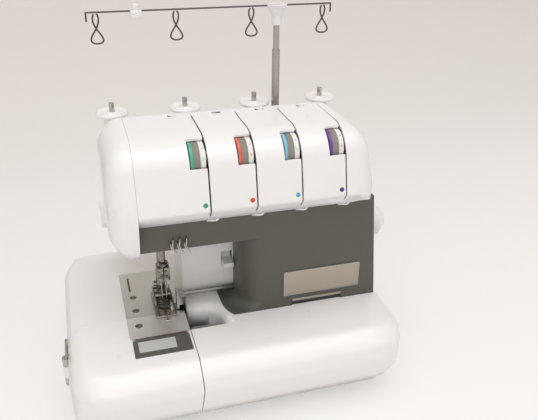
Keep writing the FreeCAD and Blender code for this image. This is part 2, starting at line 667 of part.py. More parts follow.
def panel_prism(name, inset, depth):
    """The panel's outline padded, with its upright throat edge rounded."""
    body = prism(name, "front", panel_corners(inset), depth)

    def throat_edge(bounds):
        upright = at(s.column_left + inset, bounds.XMin, bounds.XMax)
        return upright and at(depth[0], bounds.YMin, bounds.YMax)

    return round_edges(body, s.panel_edge_round - inset, throat_edge)


def panel_flare():
    """The hollow skirt by which the column's left side and rounded edge run out on the bed rim."""
    lip = s.bed_top + s.flare_lip
    top = lip + s.flare_round
    above = top + s.flare_lip
    reach = s.flare_reach
    turn = s.panel_edge_round
    centre = (s.column_left + turn, s.panel_front + turn)
    side = prism("flare_side", "front", [
        (s.column_left + 1, s.bed_top, 0), (s.column_left + 1, above, 0), (s.column_left, above, 0),
        (s.column_left, lip, s.flare_round), (s.column_left - reach, lip, 0),
        (s.column_left - reach, s.bed_top, 0),
    ], (centre[1], s.wall_front))
    ring = doc.addObject("Part::Torus", "flare_ring")
    bind(ring, "Radius1", turn + s.flare_round)
    bind(ring, "Radius2", s.flare_round)
    aim(ring, "z", centre, top)
    neck = rod("flare_neck", "z", centre, turn + s.flare_round, (lip, top))
    foot = rod("flare_foot", "z", centre, turn + reach, (s.bed_top, lip))
    quarter = box("flare_quarter", (s.column_left - reach, centre[0]), (s.panel_front, centre[1]),
                  (s.bed_top, top))
    corner = overlap("flare_corner", join("flare_turned", cut("flare_hollow", neck, ring), foot), quarter)
    return join("panel_flare", side, corner)


def front_panel():
    upright = panel_prism("panel_outer", as_size(0), (s.panel_front, s.wall_front))
    body = join("panel_solid", upright, panel_flare())
    hollow = panel_prism("panel_inner", s.casing_wall, (s.panel_front + s.casing_wall, s.wall_front + 1))
    needle_way = rod("panel_needle_way", "z", (s.needle_x, s.needle_y), s.needle_bar_radius + s.bar_way,
                     (s.arm_bottom - 1, s.arm_bottom + s.casing_wall + 1))
    shaft_way = rod("panel_knife_way", "x", (s.knife_shaft_y, s.knife_shaft_z),
                    s.knife_shaft_radius + s.running_clearance,
                    (s.column_left - s.flare_reach - 1, s.column_left + s.casing_wall + 1))
    recess = box("grip_recess", (s.grip_left, s.grip_right), (far_front, s.panel_front + s.grip_depth),
                 (s.bed_top - 1, s.grip_high))
    node("front_panel", cut("front_panel", body, hollow, needle_way, shaft_way, recess))
    node("name_plate", box("name_plate", (s.label_left, s.label_right),
                           (s.panel_front - s.label_thickness, s.panel_front),
                           (s.label_low, s.label_high)))
    node("grip_strip", box("grip_strip", (s.grip_left + s.fit_gap, s.grip_right - s.fit_gap),
                           (s.panel_front - s.label_thickness, s.panel_front + s.grip_depth),
                           (s.grip_high - s.grip_strip_height, s.grip_high)))


def rear_casing():
    body = prism("rear_outer", "front", [
        (s.arm_left, s.dome_bottom, 0), (s.column_right_high, s.dome_bottom, 0),
        (s.column_right_low, s.bed_top, 0), (s.throat_wall_left, s.bed_top, 0),
        (s.throat_wall_left, s.arm_bottom, s.throat_round), (s.arm_left, s.arm_bottom, 0),
    ], (s.wall_front, s.body_back))
    wall = s.casing_wall
    hollow = prism("rear_inner", "front", [
        (s.arm_left - 1, s.dome_bottom + 1, 0), (s.column_right_high - wall, s.dome_bottom + 1, 0),
        (s.column_right_low - wall, s.bed_top - 1, 0), (s.throat_wall_left + wall, s.bed_top - 1, 0),
        (s.throat_wall_left + wall, s.arm_bottom + wall, 0), (s.arm_left - 1, s.arm_bottom + wall, 0),
    ], (s.wall_front + wall, s.body_back - wall))
    mouth = prism("rear_mouth", "front", panel_corners(s.casing_wall),
                  (s.wall_front - 1, s.wall_front + wall + 1))
    presser_way = rod("rear_presser_way", "z", (s.needle_x, s.presser_y),
                      s.presser_bar_radius + s.bar_way,
                      (s.arm_bottom - 1, s.arm_bottom + wall + 1))
    wheel_way = rod("rear_wheel_way", "x", (s.shaft_y, s.shaft_z), s.shaft_radius + s.bar_way,
                    (s.column_right_high - s.deck_margin, far_right))
    knob_way = rod("rear_knob_way", "x", (s.knob_y, s.knob_z), s.knob_stem_radius + s.running_clearance,
                   (s.column_right_high - s.deck_margin, far_right))
    lever_way = box("rear_lever_way",
                    (s.lever_x - s.lever_width / 2 - s.notch_gap,
                     s.lever_x + s.lever_width / 2 + s.notch_gap),
                    (s.wall_front - 1, s.wall_front + wall + 1),
                    (s.lever_z - s.lever_thickness / 2 - s.notch_gap, s.lever_z + s.lever_slot_rise))
    node("rear_casing", cut("rear_casing", body, hollow, mouth, presser_way, wheel_way, knob_way,
                            lever_way))


def crowned(name, side, x_span, y_span, z_span, rounds):
    """A hood: a side outline (y, z), rounded at one end in front and in plan view.

    x_span runs from the square end to the rounded one and gives that one's place at the top too.
    rounds gives the radius at the foot, at the top and, in plan, at the front and at the back.
    """
    square, rounded, crown = x_span
    low, high = z_span
    near_y, far_y = y_span
    ordered = (square, rounded) if square.value < rounded.value else (rounded, square)
    side_body = prism(f"{name}_side", "side", side, ordered)
    front_body = prism(f"{name}_front", "front", [
        (square, low, 0), (rounded, low, rounds[0]), (crown, high, rounds[1]), (square, high, 0),
    ], (near_y - 1, far_y + 1))
    plan_body = prism(f"{name}_plan", "plan", [
        (square, near_y, 0), (rounded, near_y, rounds[2]), (rounded, far_y, rounds[3]),
        (square, far_y, 0),
    ], (low - 1, high + 1))
    return overlap(name, side_body, front_body, plan_body)


def tension_cover():
    wall = s.dome_wall
    outer = crowned("dome_outer", [
        (s.body_back, s.dome_bottom, 0), (s.body_back, s.dome_top, s.crown_back_round),
        (s.dome_brow_y, s.dome_top, s.brow_round), (s.dome_chin_y, s.dome_chin_z, s.chin_round),
        (s.dome_lip_y, s.dome_bottom, 0),
    ], (s.arm_left, s.column_right_high, s.column_right_high - s.dome_lean), (s.dome_chin_y, s.body_back),
        (s.dome_bottom, s.dome_top), (as_size(0), s.dome_top_round, s.dome_plan_round, s.dome_back_round))
    throat = s.panel_front + s.casing_wall
    hollow = crowned("dome_inner", [
        (s.body_back - wall, s.dome_bottom - 1, 0),
        (s.body_back - wall, s.dome_top - wall, s.crown_back_round - wall),
        (s.dome_brow_y + wall / 2, s.dome_top - wall, s.brow_round - wall),
        (s.dome_chin_y + wall, s.dome_chin_z, s.chin_round - wall),
        (s.dome_lip_y + wall / 2, s.dome_bottom + wall, 0), (throat, s.dome_bottom + wall, 0),
        (throat, s.dome_bottom - 1, 0),
    ], (s.arm_left - 1, s.column_right_high - wall, s.column_right_high - s.dome_lean - wall),
        (s.dome_chin_y + wall, s.body_back - wall), (s.dome_bottom - 1, s.dome_top - wall),
        (as_size(0), s.dome_top_round - wall, s.dome_plan_round - wall, s.dome_back_round - wall))
    tools = [hollow]
    nubs = []
    for i in range(THREADS):
        x = slot_x(i)
        tools.append(box(f"thread_slot_{i}", (x - s.slot_width / 2, x + s.slot_width / 2),
                         (far_front, s.slot_back_y),
                         (s.dome_bottom + s.slot_foot, s.dome_top + s.beyond)))
        tools.append(box(f"dial_window_{i}", (x - s.window_width, x), (far_front, s.window_back_y),
                         (s.dial_z - s.window_drop, s.dome_top + s.beyond)))
        eye = x + s.eye_offset_x
        tools.append(box(f"thread_eye_{i}", (eye - s.eye_length / 2, eye + s.eye_length / 2),
                         (s.slot_back_y - s.eye_width / 2, s.slot_back_y + s.eye_width / 2),
                         (s.dome_top - s.dome_wall - 1, s.dome_top + s.beyond)))
        nubs.append(box(f"thread_nub_{i}", (x - s.nub_width / 2, x + s.nub_width / 2),
                        (s.panel_front - s.nub_reach, s.panel_front),
                        (s.dome_bottom - s.nub_height, s.dome_bottom)))
    node("tension_cover", join("tension_cover", cut("dome_open", outer, *tools), *nubs))


def left_end_cap():
    def hood(name, inset):
        back = s.body_back - inset
        low = s.cap_bottom + inset
        high = s.dome_top - inset
        left = s.cap_left + inset
        right = s.arm_left + 1 if inset.value else s.arm_left - s.fit_gap
        return crowned(name, [
            (back, low, s.cap_foot_round - inset), (back, high, s.crown_back_round - inset),
            (s.dome_brow_y + inset / 2, high, s.brow_round - inset),
            (s.dome_chin_y + inset, s.dome_chin_z, s.cap_chin_round - inset),
            (s.cap_foot_y + inset, low, s.cap_foot_round - inset),
        ], (right, left, left), (s.dome_chin_y + inset, back), (low, high), [s.cap_end_round - inset] * 4)

    node("left_end_cap",
         cut("left_end_cap", hood("cap_outer", as_size(0)), hood("cap_inner", s.casing_wall)))


# Tension units: bracket with studs, discs, springs and dials
def tension_units():
    strip = box("bracket_strip", (slot_x(0), slot_x(THREADS - 1) + s.tab_offset + s.tab_thickness),
                (s.strip_front, s.arm_shaft_y - s.web_front_step),
                (s.beam_high, s.beam_high + s.strip_thickness))
    tabs = [strip]
    discs = []
    springs = []
    centre = (s.dial_y, s.dial_z)
    for i in range(THREADS):
        x = slot_x(i)
        tab_left = x + s.tab_offset
        tabs.append(box(f"bracket_tab_{i}", (tab_left, tab_left + s.tab_thickness),
                        (s.dial_y - s.tab_reach, s.strip_front + s.strip_thickness),
                        (s.beam_high, s.dial_z + s.tab_reach)))
        dial_right = x - s.slot_width / 2 - s.dial_gap
        dial_left = dial_right - s.dial_width
        tabs.append(rod(f"tension_stud_{i}", "x", centre, s.stud_radius, (dial_left, tab_left + 1)))
        for side, start in (("left", x - s.disc_gap / 2 - s.disc_thickness),
                            ("right", x + s.disc_gap / 2)):
            disc = rod(f"disc_{side}_{i}", "x", centre, s.disc_radius, (start, start + s.disc_thickness))
            hole = rod(f"disc_{side}_hole_{i}", "x", centre, s.stud_radius,
                       (start - 1, start + s.disc_thickness + 1))
            discs.append(cut(f"tension_disc_{side}_{i}", disc, hole))
        coil_span = (x + s.disc_gap / 2 + s.disc_thickness, tab_left)
        coil = rod(f"coil_outer_{i}", "x", centre, s.spring_radius, coil_span)
        core = rod(f"coil_core_{i}", "x", centre, s.spring_radius - s.spring_wire,
                   (coil_span[0] - 1, coil_span[1] + 1))
        springs.append(cut(f"tension_spring_{i}", coil, core))
        drum = rod(f"dial_drum_{i}", "x", centre, s.dial_radius, (dial_left, dial_right))
        bore = rod(f"dial_bore_{i}", "x", centre, s.stud_radius + s.running_clearance,
                   (dial_left - 1, dial_right + 1))
        node(f"tension_dial_{i + 1}", cut(f"tension_dial_{i + 1}", drum, bore))
    node("tension_bracket", join("tension_bracket", *tabs))
    node("tension_discs", group("tension_discs", discs))
    node("tension_springs", group("tension_springs", springs))


def needle_thread_hooks():
    """Bent wire guides on the front of the arm for the two needle threads."""
    hooks = []
    for i in range(NEEDLE_HOOKS):
        x = s.first_hook_x + s.hook_pitch * i
        stem = rod(f"hook_stem_{i}", "y", (x, s.hook_z), s.wire_radius,
                   (s.panel_front - s.hook_out, s.panel_front))
        drop = rod(f"hook_drop_{i}", "z", (x, s.panel_front - s.hook_out), s.wire_radius,
                   (s.hook_z - s.hook_fall, s.hook_z + s.wire_radius))
        foot = rod(f"hook_foot_{i}", "y", (x, s.hook_z - s.hook_fall), s.wire_radius,
                   (s.panel_front - s.hook_out - s.wire_radius, s.panel_front - s.wire_radius * 2))
        hooks.append(join(f"needle_thread_hook_{i}", stem, drop, foot))
    node("needle_thread_hooks", group("needle_thread_hooks", hooks))


# Frame that carries the shafts and bars inside the casings
def bed_blocks():
    """The part of the frame under the bed: looper bracket, feed pedestal and lower knife post."""
    slab = box("bed_slab", (s.foot_left, s.inner_web_x), (s.looper_bracket_y, s.web_back),
               (floor_high, floor_high + s.casing_wall))
    bracket = box("looper_bracket", (s.lower_knife_right, s.upper_looper_x + s.bracket_thickness),
                  (s.looper_bracket_y, s.looper_bracket_y + s.bracket_thickness),
                  (floor_high, s.upper_looper_z + s.bracket_thickness))
    pedestal = box("feed_pedestal", (s.needle_x - s.feed_block_half, s.needle_x + s.feed_block_half),
                   (s.feed_back_y, s.web_back), (floor_high, s.feed_bar_low))
    post = box("lower_knife_post", (s.lower_knife_right, s.lower_knife_right + s.holder_width),
               (s.knife_front_y, s.looper_bracket_y), (s.knife_low, s.knife_low + s.holder_height))
    return slab, bracket, pedestal, post


def looper_ways():
    bore = s.looper_shaft_radius + s.running_clearance
    deep = (s.looper_bracket_y - 1, s.web_back)
    return (
        rod("lower_looper_way", "y", (s.lower_looper_x, s.lower_looper_z), bore, deep),
        rod("upper_looper_way", "y", (s.upper_looper_x, s.upper_looper_z), bore, deep),
    )


def crank_left():
    return s.needle_x + s.crank_offset


def frame_casting():
    webs = []
    bores = []
    for name, left in (("inner", s.inner_web_x), ("outer", s.outer_web_x)):
        wide = (left, left + s.web_thickness)
        through = (left - 1, left + s.web_thickness + 1)
        webs.append(box(f"{name}_web_low", wide, (s.web_front, s.web_back), (floor_high, s.beam_high)))
        webs.append(box(f"{name}_web_high", wide, (s.arm_shaft_y - s.web_front_step, s.web_back),
                        (s.beam_low, s.arm_shaft_z + s.web_front_step)))
        bores.append(rod(f"{name}_shaft_bore", "x", (s.shaft_y, s.shaft_z), s.shaft_radius + s.bush_wall,
                         through))
        bores.append(rod(f"{name}_arm_bore", "x", (s.arm_shaft_y, s.arm_shaft_z),
                         s.arm_shaft_radius + s.bush_wall,
                         through))
    foot = box("frame_foot", (s.inner_web_x, s.outer_web_x), (s.web_front, s.web_back),
               (floor_high, floor_high + s.casing_wall))
    beam = box("frame_beam", (s.head_left, s.outer_web_x), (s.arm_shaft_y - s.beam_half, s.web_back),
               (s.beam_low, s.beam_high))
    head_wide = (s.head_left, s.head_left + s.head_width)
    low_guide = box("frame_low_guide", head_wide, (s.head_front, s.web_back), (s.beam_low, s.beam_high))
    high_guide = box("frame_high_guide", head_wide, (s.head_front, s.web_back),
                     (s.guide_low, s.guide_high))
    spine = box("frame_spine", head_wide, (s.web_back - s.beam_high + s.beam_low, s.web_back),
                (s.beam_low, s.guide_high))
    tall = (s.beam_low - 1, s.guide_high + 1)
    bores.append(rod("needle_bar_way", "z", (s.needle_x, s.needle_y),
                     s.needle_bar_radius + s.running_clearance, tall))
    bores.append(rod("presser_bar_way", "z", (s.needle_x, s.presser_y),
                     s.presser_bar_radius + s.running_clearance, tall))
    bores.append(rod("knife_shaft_way", "x", (s.knife_shaft_y, s.knife_shaft_z),
                     s.knife_shaft_radius + s.running_clearance, (s.column_left, s.outer_web_x - 1)))
    bores.append(rod("spindle_way", "x", (s.motor_y, s.motor_z), s.stud_radius + s.bar_way,
                     (s.outer_web_x - 1, s.outer_web_x + s.web_thickness + 1)))
    crank_way = box("crank_way", (crank_left() - 1, head_wide[1] + 1),
                    (s.head_front, s.presser_y + s.crank_half),
                    (s.beam_low - 1, s.beam_high + 1))
    blank = join("frame_blank", *webs, foot, beam, low_guide, high_guide, spine, *bed_blocks())
    drilled = cut("frame_drilled", blank, crank_way, *bores, *looper_ways())
    lever_stud = rod("lever_stud", "x", (s.lever_pivot_y, s.lever_z), s.lever_pin_radius,
                     (s.lever_x - s.lever_width / 2 - 1, s.inner_web_x + 1))
    node("frame_casting", join("frame_casting", drilled, lever_stud))


def shaft_bushes():
    bushes = []
    for name, left in (("inner", s.inner_web_x), ("outer", s.outer_web_x)):
        wide = (left, left + s.web_thickness)
        through = (left - 1, left + s.web_thickness + 1)
        for shaft, centre, radius in (
            ("main", (s.shaft_y, s.shaft_z), s.shaft_radius),
            ("arm", (s.arm_shaft_y, s.arm_shaft_z), s.arm_shaft_radius),
        ):
            ring = rod(f"{name}_{shaft}_ring", "x", centre, radius + s.bush_wall, wide)
            hole = rod(f"{name}_{shaft}_hole", "x", centre, radius + s.running_clearance, through)
            bushes.append(cut(f"{name}_{shaft}_bush", ring, hole))
    node("shaft_bushes", group("shaft_bushes", bushes))


# Drive: motor, belt, main shaft, handwheel and arm shaft
def drive():
    main = (s.shaft_y, s.shaft_z)
    motor_centre = (s.motor_y, s.motor_z)
    node("main_shaft", rod("main_shaft", "x", main, s.shaft_radius,
                           (s.inner_web_x - s.shaft_stub, s.wheel_right - s.shaft_stub)))
    pulley = rod("belt_pulley_disc", "x", main, s.big_pulley_radius, (s.belt_left, s.belt_right))
    pulley_bore = rod("belt_pulley_bore", "x", main, s.shaft_radius, (s.belt_left - 1, s.belt_right + 1))
    node("belt_pulley", cut("belt_pulley", pulley, pulley_bore))
    rim = rod("wheel_rim", "x", main, s.wheel_radius, (s.wheel_left, s.wheel_right - s.wheel_dome))
    dome = taper("wheel_dome", "x", main, (s.wheel_radius, s.wheel_radius - s.wheel_dome),
                 (s.wheel_right - s.wheel_dome, s.wheel_right))
    wheel_bore = rod("wheel_bore", "x", main, s.shaft_radius,
                     (s.wheel_left - 1, s.wheel_right - s.shaft_stub))
    node("handwheel", cut("handwheel", join("wheel_blank", rim, dome), wheel_bore))
    body = rod("motor_can", "x", motor_centre, s.motor_radius, (s.motor_left, s.motor_right))
    cradle = box("motor_cradle", (s.motor_left + s.web_thickness, s.motor_right - s.web_thickness),
                 (s.motor_y - s.motor_radius / 2, s.motor_y + s.motor_radius / 2),
                 (floor_high + s.casing_wall, s.motor_z))
    nose = rod("motor_nose", "x", motor_centre, s.small_pulley_radius, (s.motor_right, s.outer_web_x))
    shaft_space = rod("motor_shaft_way", "x", motor_centre, s.stud_radius + s.running_clearance,
                      (s.motor_left + 1, s.belt_right + 1))
    node("motor", cut("motor", join("motor_blank", body, cradle, nose), shaft_space))
    spindle = rod("motor_spindle", "x", motor_centre, s.stud_radius, (s.motor_left + 1, s.belt_right))
    small = rod("motor_pulley_disc", "x", motor_centre, s.small_pulley_radius,
                (s.belt_left, s.belt_right))
    node("motor_pulley", join("motor_pulley", spindle, small))
    arm = (s.arm_shaft_y, s.arm_shaft_z)
    shaft = rod("arm_shaft_rod", "x", arm, s.arm_shaft_radius,
                (crank_left(), s.outer_web_x + s.web_thickness + 1))
    crank_wide = (crank_left(), crank_left() + s.crank_width)
    crank = box("crank_bar", crank_wide, (s.needle_y + s.needle_bar_radius, s.arm_shaft_y),
                (s.arm_shaft_z - s.crank_half, s.arm_shaft_z + s.crank_half))
    hub = rod("crank_hub", "x", arm, s.arm_shaft_radius + s.bush_wall, crank_wide)
    node("arm_shaft", join("arm_shaft", shaft, crank, hub))


def drive_belt():
    """The belt round both pulleys: two arcs and their common tangents, given a thickness."""
    def loop(extra):
        big = s.big_pulley_radius.value + s.belt_gap.value + extra
        small = s.small_pulley_radius.value + s.belt_gap.value + extra
        top = vector(0, s.shaft_y.value, s.shaft_z.value)
        low = vector(0, s.motor_y.value, s.motor_z.value)
        along = low - top
        lean = math.atan2(along.z, along.y)
        swing = math.acos((big - small) / along.Length)

        def spot(centre, radius, angle):
            return centre + vector(0, math.cos(angle), math.sin(angle)) * radius

        first, last = lean + swing, lean - swing
        edges = [
            Part.Arc(spot(top, big, first), spot(top, big, lean + math.pi),
                     spot(top, big, last)).toShape(),
            Part.LineSegment(spot(top, big, last), spot(low, small, last)).toShape(),
            Part.Arc(spot(low, small, last), spot(low, small, lean), spot(low, small, first)).toShape(),
            Part.LineSegment(spot(low, small, first), spot(top, big, first)).toShape(),
        ]
        return Part.Face(Part.Wire(edges))

    width = s.belt_right.value - s.belt_left.value
    band = loop(s.belt_thickness.value).cut(loop(0.0)).extrude(vector(width, 0, 0))
    belt = doc.addObject("Part::Feature", "drive_belt")
    belt.Shape = band.Solids[0]
    belt.Placement = FreeCAD.Placement(vector(s.belt_left.value, 0, 0), FreeCAD.Rotation())
    node("drive_belt", belt)


# Needle bar, presser and feed
def needle_parts():
    centre = (s.needle_x, s.needle_y)
    bar = rod("needle_rod", "z", centre, s.needle_bar_radius,
              (s.clamp_low + 1, s.guide_high + s.needle_stroke + 1))
    half = s.clamp_half
    clamp = box("needle_clamp", (s.needle_x - half, s.needle_x + half),
                (s.needle_y - half, s.needle_y + half),
                (s.clamp_low, s.clamp_high))
    node("needle_bar", join("needle_bar", bar, clamp))
    needles = []
    screws = []
    for i, side in enumerate((-1, 1)):
        x = s.needle_x + s.needle_spacing / 2 * side
        shank = rod(f"needle_shank_{i}", "z", (x, s.needle_y), s.needle_radius * 2,
                    (s.clamp_low - s.needle_shank, s.clamp_low))
        blade = rod(f"needle_blade_{i}", "z", (x, s.needle_y), s.needle_radius,
                    (s.needle_tip_z + s.needle_point, s.clamp_low - s.needle_shank))
        point = taper(f"needle_point_{i}", "z", (x, s.needle_y), (s.needle_radius / 5, s.needle_radius),
                      (s.needle_tip_z, s.needle_tip_z + s.needle_point))
        needles.append(join(f"needle_{i}", shank, blade, point))
        level = s.clamp_low + s.clamp_screw_step * (i + 1)
        screws.append(rod(f"clamp_screw_{i}", "y", (x, level), s.screw_radius,
                          (s.needle_y - half - s.screw_head_depth * 2, s.needle_y - half)))
    node("needles", group("needles", needles))
    node("clamp_screws", group("clamp_screws", screws))


def presser_parts():
    centre = (s.needle_x, s.presser_y)
    bar = rod("presser_rod", "z", centre, s.presser_bar_radius,
              (s.shank_high, s.guide_high + s.presser_lift))
    collar = rod("presser_collar", "z", centre, s.collar_radius,
                 (s.collar_low, s.collar_low + s.collar_height))
    node("presser_bar", join("presser_bar", bar, collar))
    spring_low = s.collar_low + s.collar_height
    coil = rod("presser_coil", "z", centre, s.collar_radius, (spring_low, s.guide_low))
    core = rod("presser_core", "z", centre, s.presser_bar_radius + s.seam_gap,
               (spring_low - 1, s.guide_low + 1))
    node("presser_spring", cut("presser_spring", coil, core))
    sole = box("foot_sole", (s.foot_left, s.foot_right), (s.swing_seam_y, s.foot_heel_y),
               (s.bed_top, s.bed_top + s.sole_thickness))
    toe = prism("foot_toe", "side", [
        (s.swing_seam_y, s.bed_top + s.seam_gap, 0), (s.swing_seam_y, s.bed_top + s.sole_thickness, 0),
        (s.foot_toe_y, s.bed_top + s.sole_thickness * 2, 0),
        (s.foot_toe_y, s.bed_top + s.sole_thickness, 0),
    ], (s.foot_left, s.foot_right))
    shank = box("foot_shank", (s.needle_x - s.shank_half, s.needle_x + s.shank_half),
                (s.presser_y - s.shank_half, s.presser_y + s.shank_half), (s.bed_top, s.shank_high))
    gap = s.needle_spacing / 2 + s.needle_hole_margin
    window = box("foot_window", (s.needle_x - gap, s.needle_x + gap),
                 (s.needle_y - s.needle_hole_margin, s.needle_y + s.needle_hole_margin),
                 (s.bed_top - 1, s.shank_high))
    node("presser_foot", cut("presser_foot", join("foot_blank", sole, toe, shank), window))
    lever_wide = (s.lever_x - s.lever_width / 2, s.lever_x + s.lever_width / 2)
    pivot = (s.lever_pivot_y, s.lever_z)
    arm = box("lever_arm", lever_wide, (s.wall_front - s.lever_reach, s.lever_pivot_y),
              (s.lever_z - s.lever_thickness / 2, s.lever_z + s.lever_thickness / 2))
    drum = s.lever_pivot_y - s.wall_front - s.casing_wall - s.notch_gap
    hub = rod("lever_hub", "x", pivot, drum, lever_wide)
    bore = rod("lever_bore", "x", pivot, s.lever_pin_radius + s.running_clearance,
               (s.arm_left, s.inner_web_x))
    node("presser_lever", cut("presser_lever", join("lever_blank", arm, hub), bore))


def feed_parts():
    """Two toothed rails on one block, carried by the feed bar behind them."""
    teeth = []
    for k in reversed(range(FEED_TEETH)):
        start = s.feed_front_y + s.tooth_pitch * k
        teeth.append((start + s.tooth_pitch, plate_low, 0))
        teeth.append((start + s.tooth_pitch * s.tooth_lean, s.bed_top - s.seam_gap, 0))
    edge = [(s.feed_front_y, plate_low, 0), (s.feed_front_y, s.feed_bar_high, 0),
            (s.feed_back_y, s.feed_bar_high, 0)]
    rails = [prism(f"feed_rail_{i}", "side", edge + teeth, (left, left + s.feed_bar_width))
             for i, left in enumerate(feed_bar_lefts())]
    block = box("feed_block", (s.needle_x - s.feed_block_half, s.needle_x + s.feed_block_half),
                (s.feed_front_y, s.feed_back_y), (s.feed_bar_low, s.feed_bar_high))
    bar = box("feed_bar", (s.needle_x - s.feed_block_half / 2, s.needle_x + s.feed_block_half / 2),
              (s.feed_front_y, s.web_back), (s.feed_bar_low, s.feed_bar_high))
    node("feed_dogs", join("feed_dogs", *rails, block, bar))


# Knives and loopers
def knives():
    left = s.lower_knife_right - s.knife_thickness
    node("lower_knife", box("lower_knife", (left, s.lower_knife_right), (s.knife_front_y, s.knife_back_y),
                            (s.knife_low, s.bed_top)))
    blade_left = s.lower_knife_right + s.fit_gap
    centre = (s.knife_shaft_y, s.knife_shaft_z)
    node("upper_knife", box("upper_knife", (blade_left, blade_left + s.knife_thickness),
                            (s.knife_front_y, s.knife_front_y + s.blade_width),
                            (s.bed_top + 1, s.bed_top + s.blade_height)))
    arm_wide = (blade_left + s.knife_thickness, blade_left + s.knife_thickness + s.holder_width)
    arm = box("knife_arm_bar", arm_wide, (s.knife_front_y, s.knife_shaft_y),
              (s.knife_shaft_z - s.knife_shaft_radius, s.knife_shaft_z + s.knife_shaft_radius * 2))
    hub = rod("knife_arm_hub", "x", centre, s.knife_shaft_radius + s.bush_wall / 2, arm_wide)
    shaft = rod("knife_shaft", "x", centre, s.knife_shaft_radius,
                (arm_wide[0], s.inner_web_x + s.web_thickness))
    node("upper_knife_arm", join("upper_knife_arm", arm, hub, shaft))


def looper(name, x, z, plane_y, rise, reach):
    """A looper arm on its own shaft, with a hook that points to the left."""
    half = s.looper_shaft_radius
    deep = (plane_y, plane_y + s.looper_thickness)
    shaft = rod(f"{name}_shaft", "y", (x, z), half, (plane_y, s.web_back - s.bracket_thickness))
    hub = rod(f"{name}_hub", "y", (x, z), half * 2, deep)
    arm = box(f"{name}_arm", (x - half, x + half), deep, (z, z + rise))
    hook = prism(f"{name}_hook", "front", [
        (x + half, z + rise - s.looper_hook, 0), (x + half, z + rise, 0), (x - reach, z + rise, 0),
        (x - reach, z + rise - s.looper_tip, 0),
    ], deep)
    node(name, join(name, shaft, hub, arm, hook))


def loopers():
    looper("lower_looper", s.lower_looper_x, s.lower_looper_z, s.lower_looper_y, s.lower_looper_rise,
           s.lower_looper_reach)
    looper("upper_looper", s.upper_looper_x, s.upper_looper_z, s.upper_looper_y, s.upper_looper_rise,
           s.upper_looper_reach)


# Thread stand: shelf, pins, spool holders and the telescopic guide tower
LOOP_POINTS = 24
LOOP_START = math.radians(20)


def thread_stand():
    slab = box("shelf_slab", (s.shelf_left, s.shelf_right), (s.body_back, s.shelf_back),
               (s.shelf_low, s.shelf_high))
    apron = box("shelf_apron", (s.throat_wall_left, s.column_right_high),
                (s.body_back, s.body_back + s.casing_wall),
                (s.shelf_low - s.apron_drop, s.shelf_low))
    tower = (s.tower_x, s.tower_y)
    socket_top = s.shelf_high + s.tower_socket_height
    collar = rod("tower_collar", "z", tower, s.tower_socket_radius, (s.shelf_low, socket_top))
    socket = rod("tower_socket", "z", tower, s.lower_tube_radius, (s.shelf_high, socket_top + 1))
    node("spool_shelf", cut("spool_shelf", join("shelf_blank", slab, apron, collar), socket))
    pins = []
    holders = []
    for i in range(THREADS):
        centre = (spool_x(i), s.spool_y)
        pins.append(rod(f"spool_pin_{i}", "z", centre, s.pin_radius, (s.shelf_high, s.pin_top)))
        cone = taper(f"holder_cone_{i}", "z", centre, (s.cone_low_radius, s.cone_high_radius),
                     (s.shelf_high, s.cap_low))
        neck = rod(f"holder_neck_{i}", "z", centre, s.cone_high_radius,
                   (s.cap_low, s.cap_high - s.cap_thickness))
        disc = rod(f"holder_disc_{i}", "z", centre, s.cap_radius,
                   (s.cap_high - s.cap_thickness, s.cap_high))
        bore = rod(f"holder_bore_{i}", "z", centre, s.pin_radius + s.fit_gap,
                   (s.shelf_high - 1, s.cap_high + 1))
        holders.append(cut(f"spool_holder_{i}", join(f"holder_blank_{i}", cone, neck, disc), bore))
    node("spool_pins", group("spool_pins", pins))
    node("spool_holders", group("spool_holders", holders))


def guide_tower():
    centre = (s.tower_x, s.tower_y)
    outer = rod("lower_tube_rod", "z", centre, s.lower_tube_radius, (s.shelf_high, s.lower_tube_top))
    bore = rod("lower_tube_bore", "z", centre, s.upper_tube_radius + s.running_clearance,
               (s.shelf_high + s.tube_floor, s.lower_tube_top + 1))
    node("lower_tower_tube", cut("lower_tower_tube", outer, bore))
    node("upper_tower_tube", rod("upper_tower_tube", "z", centre, s.upper_tube_radius,
                                 (s.lower_tube_top - s.tube_rest_overlap, s.tower_head_low)))
    sleeve = rod("head_sleeve", "z", centre, s.sleeve_radius,
                 (s.tower_head_low, s.tower_head_high - s.tower_cup))
    cup = taper("head_cup", "z", centre, (s.sleeve_radius, s.tower_head_radius),
                (s.tower_head_high - s.tower_cup, s.tower_head_high))
    groove = box("head_groove",
                 (s.tower_x - s.tower_head_radius - 1, s.tower_x + s.tower_head_radius + 1),
                 (s.tower_y - s.wire_radius, s.tower_y + s.wire_radius),
                 (s.guide_bar_z - s.wire_radius, s.tower_head_high + 1))
    node("tower_head", cut("tower_head", join("head_blank", sleeve, cup), groove))


def loop_x(i):
    return s.first_loop_x + s.loop_pitch * i


def guide_bar():
    """The wire across the tower head with a down-turned hook at each end."""
    left = loop_x(0) - s.hook_reach
    right = loop_x(THREADS - 1) + s.hook_reach
    bar = rod("guide_rod", "x", (s.tower_y, s.guide_bar_z), s.wire_radius, (left, right))
    ends = [rod(f"guide_end_{i}", "z", (x, s.tower_y), s.wire_radius,
                (s.guide_bar_z - s.hook_drop, s.guide_bar_z))
            for i, x in enumerate((left, right))]
    balls = []
    for i, x in enumerate((left, right)):
        ball = doc.addObject("Part::Sphere", f"guide_ball_{i}")
        bind(ball, "Radius", s.wire_radius)
        for axis, place in zip("xyz", (x, s.tower_y, s.guide_bar_z)):
            bind(ball, f"Placement.Base.{axis}", place)
        balls.append(ball)
    node("guide_bar", join("guide_bar", bar, *ends, *balls))


